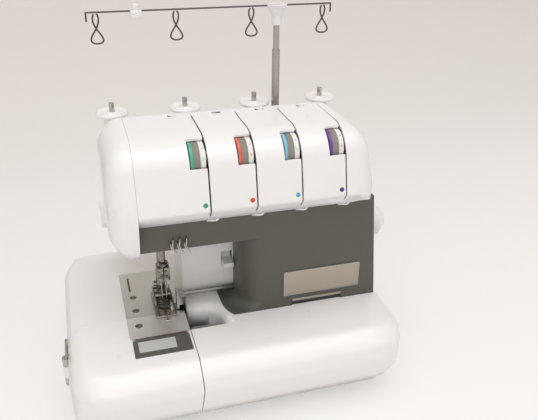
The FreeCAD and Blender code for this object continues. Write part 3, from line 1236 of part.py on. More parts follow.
def thread_loops():
    """Wire loops under the guide bar: each comes down, crosses itself and rounds a wide eye."""
    wire = s.wire_radius.value
    top = s.guide_bar_z.value - wire * 2
    half = (s.loop_drop.value - wire * 3) / 2
    points = []
    for k in range(LOOP_POINTS + 1):
        turn = LOOP_START + (2 * math.pi - 2 * LOOP_START) * k / LOOP_POINTS
        swing = s.loop_round.value - s.loop_taper.value * math.cos(turn)
        height = top - half * (math.cos(LOOP_START) - math.cos(turn))
        points.append(vector(swing * math.sin(2 * turn), s.loop_cross.value * math.sin(turn), height))
    curve = Part.BSplineCurve()
    curve.interpolate(points)
    along = curve.tangent(curve.FirstParameter)[0]
    section = Part.Wire(Part.Circle(points[0], along, wire).toShape())
    loops = []
    for i in range(THREADS):
        loop = doc.addObject("Part::Feature", f"thread_loop_{i}")
        loop.Shape = Part.Wire(curve.toShape()).makePipeShell([section], True, False)
        loop.Placement = FreeCAD.Placement(vector(loop_x(i).value, s.tower_y.value, 0),
                                           FreeCAD.Rotation())
        loops.append(loop)
    node("thread_loops", group("thread_loops", loops))


def guide_clip():
    """A small moulded clip on the guide bar between the first two loops."""
    middle = (loop_x(0) + loop_x(1)) / 2
    block = box("clip_block", (middle - s.clip_half_width, middle + s.clip_half_width),
                (s.tower_y - s.clip_half_depth, s.tower_y + s.clip_half_depth),
                (s.guide_bar_z - s.clip_half_height, s.guide_bar_z + s.clip_half_height))
    way = rod("clip_way", "x", (s.tower_y, s.guide_bar_z), s.wire_radius, (loop_x(0), loop_x(1)))
    node("guide_clip", cut("guide_clip", block, way))


# Mains switch, inlet and stitch length knob on the right side
def right_side_controls():
    level = (s.switch_z, s.switch_z + s.switch_height)
    inner_level = (s.switch_z + s.switch_wall, s.switch_z + s.switch_height - s.switch_wall)
    back = s.base_right - s.switch_depth
    housing = box("switch_housing", (back, s.base_right), (s.switch_y, s.switch_y + s.switch_length),
                  level)
    well = box("switch_well", (back + s.switch_wall, far_right),
               (s.switch_y + s.switch_wall, s.switch_y + s.switch_length - s.switch_wall), inner_level)
    middle = s.switch_y + s.switch_length / 2
    pivot = (s.base_right - s.rocker_proud, middle)
    pin = rod("rocker_pin", "z", pivot, s.rocker_pin_radius, level)
    half = s.switch_length / 2 - s.switch_wall - s.rocker_gap
    rocker = box("rocker_block", (s.base_right - s.rocker_depth, s.base_right + s.rocker_proud),
                 (middle - half, middle + half),
                 (inner_level[0] + s.fit_gap, inner_level[1] - s.fit_gap))
    bore = rod("rocker_bore", "z", pivot, s.rocker_pin_radius + s.running_clearance,
               (s.switch_z, s.switch_z + s.switch_height))
    node("power_switch", cut("power_switch", rocker, bore))
    inlet = box("inlet_housing", (back, s.base_right), (s.inlet_y, s.inlet_y + s.inlet_length), level)
    mouth = box("inlet_mouth", (s.base_right - s.inlet_recess, far_right),
                (s.inlet_y + s.inlet_wall, s.inlet_y + s.inlet_length - s.inlet_wall),
                (s.switch_z + s.inlet_wall, s.switch_z + s.switch_height - s.inlet_wall))
    centre_y = s.inlet_y + s.inlet_length / 2
    centre_z = s.switch_z + s.switch_height / 2
    prongs = [rod(f"inlet_prong_{i}", "x", (centre_y + s.blade_pitch / 2 * side, centre_z),
                  s.blade_radius,
                  (s.base_right - s.inlet_recess - 1, s.base_right - 1)) for i,
              side in enumerate((-1, 1))]
    bridge = box("mains_bridge", (back, back + s.switch_wall), (s.switch_y, s.inlet_y + s.inlet_length),
                 level)
    node("mains_socket", join("mains_socket", cut("switch_cup", housing, well), pin,
                              cut("inlet_cup", inlet, mouth), *prongs, bridge))
    stem = rod("knob_stem", "x", (s.knob_y, s.knob_z), s.knob_stem_radius,
               (s.knob_stem_left, s.knob_left))
    grip = taper("knob_grip", "x", (s.knob_y, s.knob_z), (s.knob_radius, s.knob_radius - s.knob_draft),
                 (s.knob_left, s.knob_right))
    node("stitch_length_knob", join("stitch_length_knob", stem, grip))


for build_piece in (
    bottom_plate, rubber_feet, base_casing, plate_screws, needle_plate, swing_cover, swing_hinge,
    looper_cover, front_panel, rear_casing, tension_cover, left_end_cap, tension_units,
    needle_thread_hooks, frame_casting, shaft_bushes, drive, drive_belt, needle_parts, presser_parts,
    feed_parts, knives, loopers, thread_stand, guide_tower, guide_bar, thread_loops, guide_clip,
    right_side_controls,
):
    build_piece()
doc.recompute()

# Every object and every piece is sound before anything is written
for item in doc.Objects:
    if "Invalid" in item.State or "Error" in item.State:
        raise RuntimeError(f"{item.Name} failed: {item.State}")
for name, item in nodes.items():
    if item.Shape.isNull() or not item.Shape.isValid():
        raise RuntimeError(f"{name} has no valid shape")
whole = FreeCAD.BoundBox()
for item in nodes.values():
    whole.add(item.Shape.optimalBoundingBox(False))
to_origin = vector(-whole.Center.x, -whole.Center.y, -whole.ZMin)
os.makedirs("parts", exist_ok=True)
for name, item in nodes.items():
    item.Shape.translated(to_origin).exportStep(f"parts/{name}.step")
print(f"moved by {to_origin.x:.4f}, {to_origin.y:.4f}, {to_origin.z:.4f}")
print(f"{len(nodes)} pieces written")
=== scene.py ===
# %% [markdown]
# The frame comes first. Every CAD piece of the overlock machine is loaded at its real place, in metres,
# so a piece made here can be put straight where it belongs. Places in this lesson are millimetres from
# under the middle of the base, and spot turns them into places of the frame.

# %% Load the machine
import math

import bmesh
import bpy
import numpy as np
from mathutils import Matrix, Vector


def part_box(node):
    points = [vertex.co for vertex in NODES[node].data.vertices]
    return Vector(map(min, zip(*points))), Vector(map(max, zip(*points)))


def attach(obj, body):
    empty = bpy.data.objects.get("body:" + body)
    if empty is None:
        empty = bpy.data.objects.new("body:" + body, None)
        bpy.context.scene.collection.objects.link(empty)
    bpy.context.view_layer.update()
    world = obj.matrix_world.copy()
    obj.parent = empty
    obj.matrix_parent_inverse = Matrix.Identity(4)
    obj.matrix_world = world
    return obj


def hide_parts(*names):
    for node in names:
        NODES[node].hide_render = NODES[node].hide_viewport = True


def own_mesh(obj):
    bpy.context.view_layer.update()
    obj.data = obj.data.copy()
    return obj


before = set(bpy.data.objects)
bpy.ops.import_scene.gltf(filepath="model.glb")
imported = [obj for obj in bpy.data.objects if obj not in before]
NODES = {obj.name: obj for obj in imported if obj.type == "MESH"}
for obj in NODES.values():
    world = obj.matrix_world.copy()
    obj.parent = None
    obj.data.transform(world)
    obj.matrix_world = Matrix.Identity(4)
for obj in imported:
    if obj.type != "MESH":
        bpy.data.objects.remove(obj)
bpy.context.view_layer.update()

MM = 0.001
BASE_LEFT, BASE_BACK = -157, 125
hull_low, hull_high = (Vector(corner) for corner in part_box("base_casing"))
ZERO = Vector((hull_low.x - BASE_LEFT * MM, hull_high.y - BASE_BACK * MM, 0))


def spot(x, y, z):
    """A place in the frame, from millimetres measured from under the middle of the base."""
    return ZERO + Vector((x, y, z)) * MM


# %% [markdown]
# A shader is a chain of nodes, and sums on its values need many small Math nodes. The first class wraps a
# socket, so that 1 - rise or 0.3 + 0.05 * touch can be written as a plain sum. The second one holds a tree
# of nodes, and its add method makes any node. The third one is a tree that belongs to a finish: feed joins
# what changes over the surface to the shader, and steady values sit on the shader itself.

# %% Sums on shader values
class Value:
    """A shader socket that takes part in sums."""

    def __init__(self, shading, socket):
        self.shading = shading
        self.socket = socket

    def sum(self, operation, first, second):
        return self.shading.add("ShaderNodeMath", {"operation": operation}, {0: first, 1: second})

    def __add__(self, other):
        return self.sum("ADD", self, other)

    __radd__ = __add__

    def __mul__(self, other):
        return self.sum("MULTIPLY", self, other)

    __rmul__ = __mul__

    def __sub__(self, other):
        return self.sum("SUBTRACT", self, other)

    def __rsub__(self, other):
        return self.sum("SUBTRACT", other, self)

    def higher(self, other):
        return self.sum("MAXIMUM", self, other)


# %% A tree of nodes
class Shading:
    """A tree of shader nodes."""

    def __init__(self, tree):
        self.tree = tree

    def add(self, kind, settings=None, inputs=None, output=0):
        """Any node: first its settings, then the values or links of its sockets."""
        node = self.tree.nodes.new(kind)
        for key, value in (settings or {}).items():
            if key == "stops":
                for stop, (place, tone) in zip(node.color_ramp.elements, value):
                    stop.position = place
                    stop.color = tone
            else:
                setattr(node, key, value)
        for key, value in (inputs or {}).items():
            if isinstance(value, Value):
                self.tree.links.new(value.socket, node.inputs[key])
            else:
                node.inputs[key].default_value = value
        return Value(self, node.outputs[output])


# %% One finish
MIX_FACTOR, MIX_FIRST, MIX_SECOND, MIX_RESULT = 0, 6, 7, 2


def socket_title(name):
    return name.replace("_", " ").title().replace("Ior", "IOR")


def colour(red, green, blue):
    return (red, green, blue, 1.0)


class Finish(Shading):
    """A material whose steady values sit on the shader and whose changing ones are fed to it."""

    def __init__(self, name, **steady):
        self.material = bpy.data.materials.new(name)
        self.material.use_nodes = True
        super().__init__(self.material.node_tree)
        self.skin = self.tree.nodes["Principled BSDF"]
        self.place = self.add("ShaderNodeTexCoord", output="Object")
        for key, value in steady.items():
            self.skin.inputs[socket_title(key)].default_value = value

    def stretched(self, x, y, z):
        settings = {"operation": "MULTIPLY"}
        return self.add("ShaderNodeVectorMath", settings, {0: self.place, 1: (x, y, z)})

    def noise(self, scale, detail, where=None):
        inputs = {"Vector": where or self.place, "Scale": scale, "Detail": detail}
        return self.add("ShaderNodeTexNoise", {"noise_dimensions": "3D"}, inputs)

    def mix(self, factor, first, second):
        inputs = {MIX_FACTOR: factor, MIX_FIRST: first, MIX_SECOND: second}
        return self.add("ShaderNodeMix", {"data_type": "RGBA"}, inputs, MIX_RESULT)

    def bump(self, height, strength, distance):
        inputs = {"Height": height, "Strength": strength, "Distance": distance}
        return self.add("ShaderNodeBump", {}, inputs)

    def feed(self, **changing):
        for key, value in changing.items():
            self.tree.links.new(value.socket, self.skin.inputs[socket_title(key)])
        return self.material


# %% [markdown]
# The casings are glossy white moulded plastic. A flat white would look like paper, so three things
# change over it: a slow drift between a cool and a warm white, a gloss that is not quite even, and the
# very fine orange-peel texture that a mould leaves. The darker mouldings and the rubbers have the same
# three changes in other amounts, so one function makes all of them.

# %% Plastics
DRIFT_SCALE, TOUCH_SCALE, TOUCH_SPREAD = 9, 45, 0.05
GRAIN_HEIGHT = 0.0002


def moulded(name, tone, shade, rough, peel=0.04, coat=0.25, peel_scale=900):
    """A plastic or rubber that drifts from a shade to a tone."""
    finish = Finish(name, coat_weight=coat, coat_roughness=0.12, specular_ior_level=0.5)
    drift = finish.noise(DRIFT_SCALE, 3)
    touch = finish.noise(TOUCH_SCALE, 4)
    skin = finish.noise(peel_scale, 2)
    return finish.feed(
        base_color=finish.mix(drift, colour(*shade), colour(*tone)),
        roughness=rough + TOUCH_SPREAD * touch,
        normal=finish.bump(skin, peel, GRAIN_HEIGHT),
    )


white_plastic = moulded("white_moulding", (0.86, 0.845, 0.835), (0.835, 0.815, 0.80), rough=0.26)
trim_plastic = moulded("white_trim", (0.81, 0.795, 0.78), (0.77, 0.75, 0.735), rough=0.3)
panel_plastic = moulded("panel_grey", (0.098, 0.094, 0.076), (0.083, 0.079, 0.064), rough=0.4,
                        peel=0.10, coat=0.05, peel_scale=1500)
black_plastic = moulded("black_moulding", (0.035, 0.035, 0.034), (0.022, 0.022, 0.021), rough=0.4,
                        peel=0.08, coat=0.05)
foot_rubber = moulded("pale_rubber", (0.62, 0.60, 0.58), (0.54, 0.52, 0.50), rough=0.6,
                      peel=0.25, coat=0.0, peel_scale=1600)
tray_dark = moulded("tray_dark", (0.11, 0.105, 0.09), (0.08, 0.077, 0.066), rough=0.3, peel=0.06, coat=0.1)
rust_mark = moulded("rust_mark", (0.16, 0.06, 0.05), (0.10, 0.045, 0.04), rough=0.45, peel=0.1, coat=0.0)
belt_rubber = moulded("belt_rubber", (0.045, 0.043, 0.041), (0.03, 0.03, 0.03), rough=0.6,
                      peel=0.3, coat=0.0, peel_scale=1400)
print("plastics made")


# %% [markdown]
# Metals differ in how they were finished. Chrome has only hair-fine polishing marks, a brushed plate has
# long streaks in one direction, and a casting has a coarse sandy skin. One function makes all of them:
# the streaks come from a noise whose coordinates are squeezed along one or two axes.

# %% Metals
CLOUD_SCALE, STREAK_SPREAD = 22, 0.15
POLISHED, BRUSHED = (1, 1, 0.2), (6, 0.15, 1)


def metal(name, tone, shade, rough, stretch, scale, depth, metallic=1.0):
    """A metal with streaks that run where the stretch is small."""
    finish = Finish(name, metallic=metallic)
    streak = finish.noise(scale, 3, finish.stretched(*stretch))
    cloud = finish.noise(CLOUD_SCALE, 3)
    return finish.feed(
        base_color=finish.mix(0.5 * streak + 0.5 * cloud, colour(*shade), colour(*tone)),
        roughness=rough + STREAK_SPREAD * streak,
        normal=finish.bump(streak, depth, GRAIN_HEIGHT),
    )


chrome = metal("polished_chrome", (0.56, 0.54, 0.50), (0.42, 0.40, 0.37), 0.08, POLISHED, 900, 0.04)
# Painted dark reflection: the next two chromes are made darker than chrome to stand in for dark
# surroundings.
tube_chrome_painted_dark_reflection = metal("tube_chrome_painted_dark_reflection", (0.45, 0.425, 0.395), (0.35, 0.33, 0.305), 0.06, POLISHED, 900, 0.03)
chrome_painted_dark_reflection = metal("chrome_painted_dark_reflection", (0.34, 0.315, 0.28), (0.20, 0.185, 0.165), 0.1, POLISHED, 900, 0.05)
brushed_plate = metal("brushed_plate", (0.70, 0.715, 0.67), (0.58, 0.595, 0.555), 0.3, BRUSHED, 700, 0.06)
cover_steel = metal("cover_steel", (0.88, 0.895, 0.86), (0.76, 0.775, 0.74), 0.32, BRUSHED, 700, 0.06)
label_silver = metal("label_silver", (0.52, 0.465, 0.385), (0.41, 0.365, 0.30), 0.28, (0.1, 4, 4), 700, 0.08)
dark_wire = metal("dark_wire", (0.17, 0.155, 0.145), (0.09, 0.085, 0.08), 0.28, (0.2, 1, 1), 1200, 0.05)
blade_steel = metal("ground_steel", (0.52, 0.51, 0.49), (0.38, 0.37, 0.36), 0.22, (1, 1, 0.1), 900, 0.06)
cast_metal = metal("sand_cast", (0.34, 0.34, 0.335), (0.24, 0.24, 0.24), 0.5, (1, 1, 1), 420, 0.5)
motor_metal = metal("motor_can", (0.30, 0.30, 0.31), (0.20, 0.20, 0.21), 0.35, (0.15, 2, 2), 500, 0.1)
bush_bronze = metal("bush_bronze", (0.52, 0.36, 0.17), (0.40, 0.26, 0.12), 0.3, (4, 1, 1), 600, 0.1)
pale_plate = metal("pale_plate", (0.64, 0.64, 0.61), (0.55, 0.55, 0.52), 0.4, (0.2, 4, 4), 600, 0.06,
                   metallic=0.2)
print("metals made")


# %% [markdown]
# Each CAD piece that already has its right shape is simply dressed: its material slot gets a finish. The
# pieces that are made anew further down are dressed too, so that no CAD piece is left plain.

# %% Dress the CAD pieces
def dress(finish, *names):
    for name in names:
        slots = NODES[name].data.materials
        slots.clear()
        slots.append(finish)


dress(white_plastic, "base_casing", "swing_cover", "looper_cover", "rear_casing", "tension_cover",
      "left_end_cap", "handwheel", "spool_shelf", "spool_holders")
dress(trim_plastic, "tower_head", "guide_clip", "presser_lever", "stitch_length_knob")
dress(panel_plastic, "front_panel")
dress(black_plastic, "bottom_plate", "power_switch", "mains_socket", "belt_pulley", "motor_pulley",
      "tension_dial_1", "tension_dial_2", "tension_dial_3", "tension_dial_4")
dress(foot_rubber, "rubber_feet")
dress(belt_rubber, "drive_belt")
dress(chrome, "needles", "spool_pins", "tension_discs", "cover_hinge_rod", "swing_hinge")
dress(tube_chrome_painted_dark_reflection, "upper_tower_tube", "lower_tower_tube")
dress(chrome_painted_dark_reflection, "needle_bar", "clamp_screws", "presser_bar", "presser_foot", "needle_thread_hooks",
      "plate_screws", "cover_screw")
dress(brushed_plate, "needle_plate", "tension_bracket")
dress(cover_steel, "cover_plate")
dress(label_silver, "name_plate", "grip_strip")
dress(pale_plate, "window_plate")
dress(dark_wire, "guide_bar", "thread_loops", "tension_springs", "presser_spring")
dress(blade_steel, "lower_knife", "upper_knife", "upper_knife_arm", "lower_looper", "upper_looper",
      "feed_dogs", "main_shaft", "arm_shaft")
dress(cast_metal, "frame_casting")
dress(motor_metal, "motor")
dress(bush_bronze, "shaft_bushes")
print("dressed:", sum(1 for node in NODES.values() if node.data.materials))


# %% [markdown]
# A few of these pieces have sharp edges in the solids. A Weld modifier joins their loose triangles and a
# Bevel modifier rounds the edges that turn by more than a set angle, so that they catch a thin line of
# light. Modifiers leave the CAD piece itself as it is, which an edit of its mesh would not.

# %% Round the edges of pieces that keep their shape
WELD_GAP = 0.002
EASE_ANGLE = math.radians(50)


def ease_edges(width, *names):
    for name in names:
        weld = NODES[name].modifiers.new("weld", "WELD")
        weld.merge_threshold = WELD_GAP * MM
        bevel = NODES[name].modifiers.new("ease", "BEVEL")
        bevel.width = width * MM
        bevel.segments = 2
        bevel.limit_method = "ANGLE"
        bevel.angle_limit = EASE_ANGLE
        print(name, "edges eased by", width, "mm")


ease_edges(0.6, "spool_shelf", "presser_lever", "stitch_length_knob")
ease_edges(0.3, "upper_knife_arm", "name_plate", "power_switch")


# %% [markdown]
# Every mesh made below becomes a piece of the machine in the same way. It gets its finish, smooth shading
# that keeps the sharp edges, an object at the origin, and a body that it rides on. A piece that stands for
# CAD pieces hides them, so that they make room for it.

# %% How a mesh becomes a piece
SHARP_ANGLE = math.radians(38)


def as_mesh(name, shape):
    """The plain mesh of an editing shape, which is freed."""
    mesh = bpy.data.meshes.new(name)
    shape.to_mesh(mesh)
    shape.free()
    return mesh


def finished(mesh, body, finish, *stands_for):
    """Puts a mesh in the scene as a piece that rides on a body."""
    mesh.materials.clear()
    mesh.materials.append(finish)
    mesh.polygons.foreach_set("use_smooth", [True] * len(mesh.polygons))
    mesh.set_sharp_from_angle(angle=SHARP_ANGLE)
    piece = bpy.data.objects.new(mesh.name, mesh)
    bpy.context.scene.collection.objects.link(piece)
    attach(piece, body)
    if stands_for:
        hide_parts(*stands_for)
    print(mesh.name, len(mesh.polygons), "faces")
    return piece


# %% [markdown]
# A moulded casing has no hard ridges, because molten plastic would not fill them and a hand would feel
# them. The CAD hull is where three outlines overlap, a side, a front and a plan view, so its round edges
# still meet in ridges at the corners. Here a copy of each casing is cut finer near those ridges, and its
# points sink until the outlines melt into each other. Each outline is the tight band round some discs,
# one for each rounded corner, and the height above it is the largest height in any direction.

# %% Outlines
X, Y, Z = 0, 1, 2
DIRECTIONS = 120


class Outline:
    """A convex outline in two of the axes, from corners (u, v, radius) that run anticlockwise."""

    def __init__(self, axes, corners):
        self.axes = list(axes)
        spots = [Vector((u, v)) for u, v, radius in corners]
        turns = list(np.linspace(0, 2 * math.pi, DIRECTIONS, endpoint=False))
        discs = []
        for i, (u, v, radius) in enumerate(corners):
            back = (spots[i - 1] - spots[i]).normalized()
            ahead = (spots[(i + 1) % len(spots)] - spots[i]).normalized()
            middle = (back + ahead).normalized()
            centre = spots[i] + middle * (radius / math.sin(back.angle(middle)))
            discs.append((*centre, radius))
            turns.append(math.atan2(-ahead.x, ahead.y))
        self.ways = np.stack((np.cos(turns), np.sin(turns)), axis=1)
        discs = np.array(discs)
        self.reach = (self.ways @ discs[:, :2].T + discs[:, 2]).max(axis=1)

    def height(self, points):
        """How far each point stands outside the outline, and which way is out."""
        heights = points[:, self.axes] @ self.ways.T - self.reach
        best = heights.argmax(axis=1)
        out = np.zeros_like(points)
        out[:, self.axes] = self.ways[best]
        return heights.max(axis=1), out


# %% How outlines melt together
MELT_REACH = 20


def melt(first, second):
    """The higher of two heights, raised where both are near and point apart."""
    gap = np.clip(1 - abs(first[0] - second[0]) / MELT_REACH, 0, 1)
    apart = np.clip(1 - (first[1] * second[1]).sum(axis=1), 0, 1)
    share = np.where(first[0] > second[0], 1 - gap / 2, gap / 2)[:, None]
    height = np.maximum(first[0], second[0]) + gap ** 2 * MELT_REACH / 4 * apart
    return height, share * first[1] + (1 - share) * second[1]


def heights(points, outlines):
    """The sharp height, the melted one and the melted way out."""
    each = [outline.height(points) for outline in outlines]
    sharp = np.max([height for height, out in each], axis=0)
    soft = each[0]
    for other in each[1:]:
        soft = melt(soft, other)
    return sharp, soft[0], soft[1]


# %% Cut a casing finer where it melts
FINEST_EDGE, CUT_ROUNDS = 5.0, 7
SKIN_DEPTH, MELT_STEP = 10.0, 0.05


def places(mesh_points):
    """Points of the frame as millimetres from under the middle of the base."""
    return (np.array([tuple(point) for point in mesh_points]) - np.array(ZERO)) / MM


def cut_finer(shape, outlines):
    """Splits long edges that lie where the outlines melt."""
    for cut in range(CUT_ROUNDS):
        bmesh.ops.triangulate(shape, faces=shape.faces[:])
        long = [edge for edge in shape.edges if edge.calc_length() > FINEST_EDGE * MM]
        if not long:
            return
        near = np.zeros(len(long), bool)
        for part in (0.0, 0.25, 0.5, 0.75, 1.0):
            points = places([edge.verts[0].co.lerp(edge.verts[1].co, part) for edge in long])
            sharp, soft, out = heights(points, outlines)
            near |= (soft - sharp > MELT_STEP) & (sharp > -SKIN_DEPTH)
        chosen = [edge for edge, use in zip(long, near) if use]
        if not chosen:
            return
        bmesh.ops.subdivide_edges(shape, edges=chosen, cuts=1)


# %% Which points sink
FAR = 400
ROD_Y, ROD_Z, KNUCKLE_REACH = -85.0, 15.0, 5.5
SIDE_LIP_X, SIDE_LIP_Z = -135.0, 14.0


def sinking(points, level, back):
    """How far each point follows the melting. Points deep inside, behind the place given as back, round
    the hinge rod and in the lip at the left side stay where they are."""
    follow = np.clip((level + SKIN_DEPTH) / SKIN_DEPTH * 2, 0, 1)
    follow *= np.clip((back - points[:, Y]) / SKIN_DEPTH, 0, 1)
    from_rod = np.hypot(points[:, Y] - ROD_Y, points[:, Z] - ROD_Z)
    side_lip = (points[:, X] < SIDE_LIP_X) & (points[:, Z] < SIDE_LIP_Z)
    follow[(level < 0) & ((from_rod < KNUCKLE_REACH) | side_lip)] = 0.0
    return follow


# %% [markdown]
# Light shows every small unevenness of a glossy skin. The triangles of the skin are flat, so their own
# normals would ripple. Each corner on the outer skin gets the true way out of the melted outlines instead.

# %% Soft copies of the casings
CHORD_DEPTH, MERGE_GAP, SINK_ROUNDS = 0.3, 0.005, 3
FACING = 0.8


def smooth_shade(mesh, out, on_skin):
    """Gives the outer skin the true way out of its outlines."""
    corners = np.zeros(len(mesh.loops), int)
    mesh.loops.foreach_get("vertex_index", corners)
    facing = np.zeros(len(mesh.polygons) * 3)
    mesh.polygons.foreach_get("normal", facing)
    facing = np.repeat(facing.reshape(-1, 3), 3, axis=0)
    whole_face = np.repeat(on_skin[corners].reshape(-1, 3).all(axis=1), 3)
    agrees = on_skin[corners] & ((facing * out[corners]).sum(axis=1) > FACING)
    normals = np.where((whole_face | agrees)[:, None], out[corners], 0.0)
    mesh.normals_split_custom_set(normals.tolist())


def soft_copy(node, body, outlines, back=FAR, trim=None):
    """A copy of a casing whose ridges melt. The trim, if there is one, moves some points afterwards."""
    shape = bmesh.new()
    shape.from_mesh(NODES[node].data)
    bmesh.ops.remove_doubles(shape, verts=shape.verts[:], dist=MERGE_GAP * MM)
    cut_finer(shape, outlines)
    bmesh.ops.triangulate(shape, faces=shape.faces[:])
    points = places([vert.co for vert in shape.verts])
    level = heights(points, outlines)[0]
    level = np.where(abs(level) < CHORD_DEPTH, 0.0, level)
    follow = sinking(points, level, back)
    for sink in range(SINK_ROUNDS):
        sharp, soft, out = heights(points, outlines)
        points -= out * (follow * (soft - level) / (out ** 2).sum(axis=1))[:, None]
    if trim:
        trim(points)
    for vert, point in zip(shape.verts, points):
        vert.co = spot(*point)
    mesh = as_mesh(f"soft_{node}", shape)
    finished(mesh, body, white_plastic, node)
    out /= np.linalg.norm(out, axis=1)[:, None]
    smooth_shade(mesh, out, (level == 0.0) & (follow == 1.0))


# %% [markdown]
# The base, its front cover and its left corner look like one moulded hull with seams in it. So all three
# follow the same outlines, and the skin runs on over the seams.

# %% The base and its two covers
BASE_RIGHT, BASE_FRONT, BASE_LOW, BASE_TOP = 155, -115, 8, 78
BASE_TOP_FRONT, BASE_NOSE, BASE_CHIN = -92, 61, -89
BASE_ROUND, CHIN_ROUND = 14, 8
BASE_LEFT_ROUND, LOW_RIGHT_ROUND, TOP_RIGHT_ROUND = 20, 38, 13
FRONT_PLAN_ROUND, BACK_PLAN_ROUND = 46, 30
HULL = [
    Outline((Y, Z), [(BASE_BACK, BASE_LOW, BASE_ROUND), (BASE_BACK, BASE_TOP, BASE_ROUND),
                     (BASE_TOP_FRONT, BASE_TOP, BASE_ROUND), (BASE_FRONT, BASE_NOSE, BASE_ROUND),
                     (BASE_CHIN, BASE_LOW, CHIN_ROUND)]),
    Outline((X, Z), [(BASE_LEFT, BASE_LOW, BASE_LEFT_ROUND), (BASE_RIGHT, BASE_LOW, LOW_RIGHT_ROUND),
                     (BASE_RIGHT, BASE_TOP, TOP_RIGHT_ROUND), (BASE_LEFT, BASE_TOP, BASE_LEFT_ROUND)]),
    Outline((X, Y), [(BASE_LEFT, BASE_FRONT, FRONT_PLAN_ROUND), (BASE_RIGHT, BASE_FRONT, FRONT_PLAN_ROUND),
                     (BASE_RIGHT, BASE_BACK, BACK_PLAN_ROUND), (BASE_LEFT, BASE_BACK, BACK_PLAN_ROUND)]),
]
soft_copy("base_casing", "machine", HULL)
soft_copy("swing_cover", "swing_cover", HULL)
soft_copy("looper_cover", "looper_cover", HULL)


# %% [markdown]
# The tension cover and the end cap share one long side outline. The cover's thread slots are cut wider in
# the solids than they look on the machine, so the right wall of each slot comes nearer to the left one.
# The nubs at its lower edge are shortened, because curled wires take their place further down.

# %% The tension cover and the end cap
SLOT_PITCH, FIRST_SLOT, SLOT_WALL, SLOT_NARROWER, SLOT_TOLERANCE = 40.8, -23.9, 1.2, 1.0, 0.05
DOME_RIGHT, DOME_TOP_RIGHT, DOME_LOW, NUB_SHORTER = 134, 122, 187, 0.5
ARM_FRONT, ARM_BACK, ARM_TOP = -57, 53, 258.5
FACE_TOP_Y, FACE_LOW_Z = -45, 200
ARM_BACK_ROUND, BROW_ROUND, DOME_FACE_ROUND, DOME_EDGE_ROUND = 24, 30, 5, 4
CAP_LEFT, CAP_LOW, CAP_LOW_FRONT = -109, 152, -44
CAP_ROUND, CAP_LOW_ROUND, CAP_FACE_ROUND = 23, 12, 16
DOME_SOFT_BACK = 46
arm_upper_edge = [(ARM_BACK, ARM_TOP, ARM_BACK_ROUND), (FACE_TOP_Y, ARM_TOP, BROW_ROUND)]
DOME = [
    Outline((Y, Z), [(ARM_BACK, -FAR, 0), *arm_upper_edge, (ARM_FRONT, FACE_LOW_Z, DOME_FACE_ROUND),
                     (ARM_FRONT, -FAR, 0)]),
    Outline((X, Z), [(-FAR, -FAR, 0), (DOME_RIGHT, -FAR, 0), (DOME_RIGHT, DOME_LOW, 0),
                     (DOME_TOP_RIGHT, ARM_TOP, BROW_ROUND), (-FAR, ARM_TOP, 0)]),
    Outline((X, Y), [(-FAR, ARM_FRONT, 0), (DOME_RIGHT, ARM_FRONT, BROW_ROUND),
                     (DOME_RIGHT, ARM_BACK, DOME_EDGE_ROUND), (-FAR, ARM_BACK, 0)]),
]
CAP = [
    Outline((Y, Z), [(ARM_BACK, CAP_LOW, CAP_LOW_ROUND), *arm_upper_edge,
                     (ARM_FRONT, FACE_LOW_Z, CAP_FACE_ROUND), (CAP_LOW_FRONT, CAP_LOW, CAP_LOW_ROUND)]),
    Outline((X, Z), [(CAP_LEFT, CAP_LOW, CAP_ROUND), (FAR, CAP_LOW, 0), (FAR, ARM_TOP, 0),
                     (CAP_LEFT, ARM_TOP, CAP_ROUND)]),
    Outline((X, Y), [(CAP_LEFT, ARM_FRONT, CAP_ROUND), (FAR, ARM_FRONT, 0), (FAR, ARM_BACK, 0),
                     (CAP_LEFT, ARM_BACK, CAP_ROUND)]),
]


def trim_slots_and_nubs(points):
    across = (points[:, X] - FIRST_SLOT - SLOT_WALL) % SLOT_PITCH
    on_wall = np.minimum(across, SLOT_PITCH - across) < SLOT_TOLERANCE
    points[:, X] -= np.where(on_wall, SLOT_NARROWER, 0.0)
    points[:, Z] += NUB_SHORTER * np.clip(DOME_LOW - points[:, Z], 0, None)


soft_copy("tension_cover", "machine", DOME, DOME_SOFT_BACK, trim_slots_and_nubs)
soft_copy("left_end_cap", "machine", CAP)


# %% [markdown]
# Many small pieces are turned on a lathe or bent from wire, so two helpers make those. A turned piece is
# a profile of radius and distance swung round an axis. A bent wire is a smooth curve through a few
# points, given a round section. A third helper makes blocks with their edges rounded off, because every
# real edge is a little round and catches the light.

# %% Turned pieces
def closed(name, shape):
    bmesh.ops.recalc_face_normals(shape, faces=shape.faces[:])
    return as_mesh(name, shape)


def join_loops(shape, loops):
    """Faces from each loop of points to the next one."""
    count = len(loops[0])
    for first, second in zip(loops, loops[1:]):
        for step in range(count):
            after = (step + 1) % count
            shape.faces.new((first[step], first[after], second[after], second[step]))


def turned(name, foot, axis, profile, steps, hollow=False):
    """A mesh from profile points (radius, distance along the axis), in millimetres. A hollow piece's
    profile closes on itself, and a solid one gets a flat end at each side."""
    shape = bmesh.new()
    lean = Vector((0, 0, 1)).rotation_difference(Vector(axis)).to_matrix()
    rings = []
    for radius, along in profile:
        ring = []
        for step in range(steps):
            angle = 2 * math.pi * step / steps
            local = Vector((radius * math.cos(angle), radius * math.sin(angle), along))
            ring.append(shape.verts.new(spot(*foot) + lean @ local * MM))
        rings.append(ring)
    if hollow:
        join_loops(shape, rings + rings[:1])
    else:
        join_loops(shape, rings)
        shape.faces.new(list(reversed(rings[0])))
        shape.faces.new(rings[-1])
    return closed(name, shape)


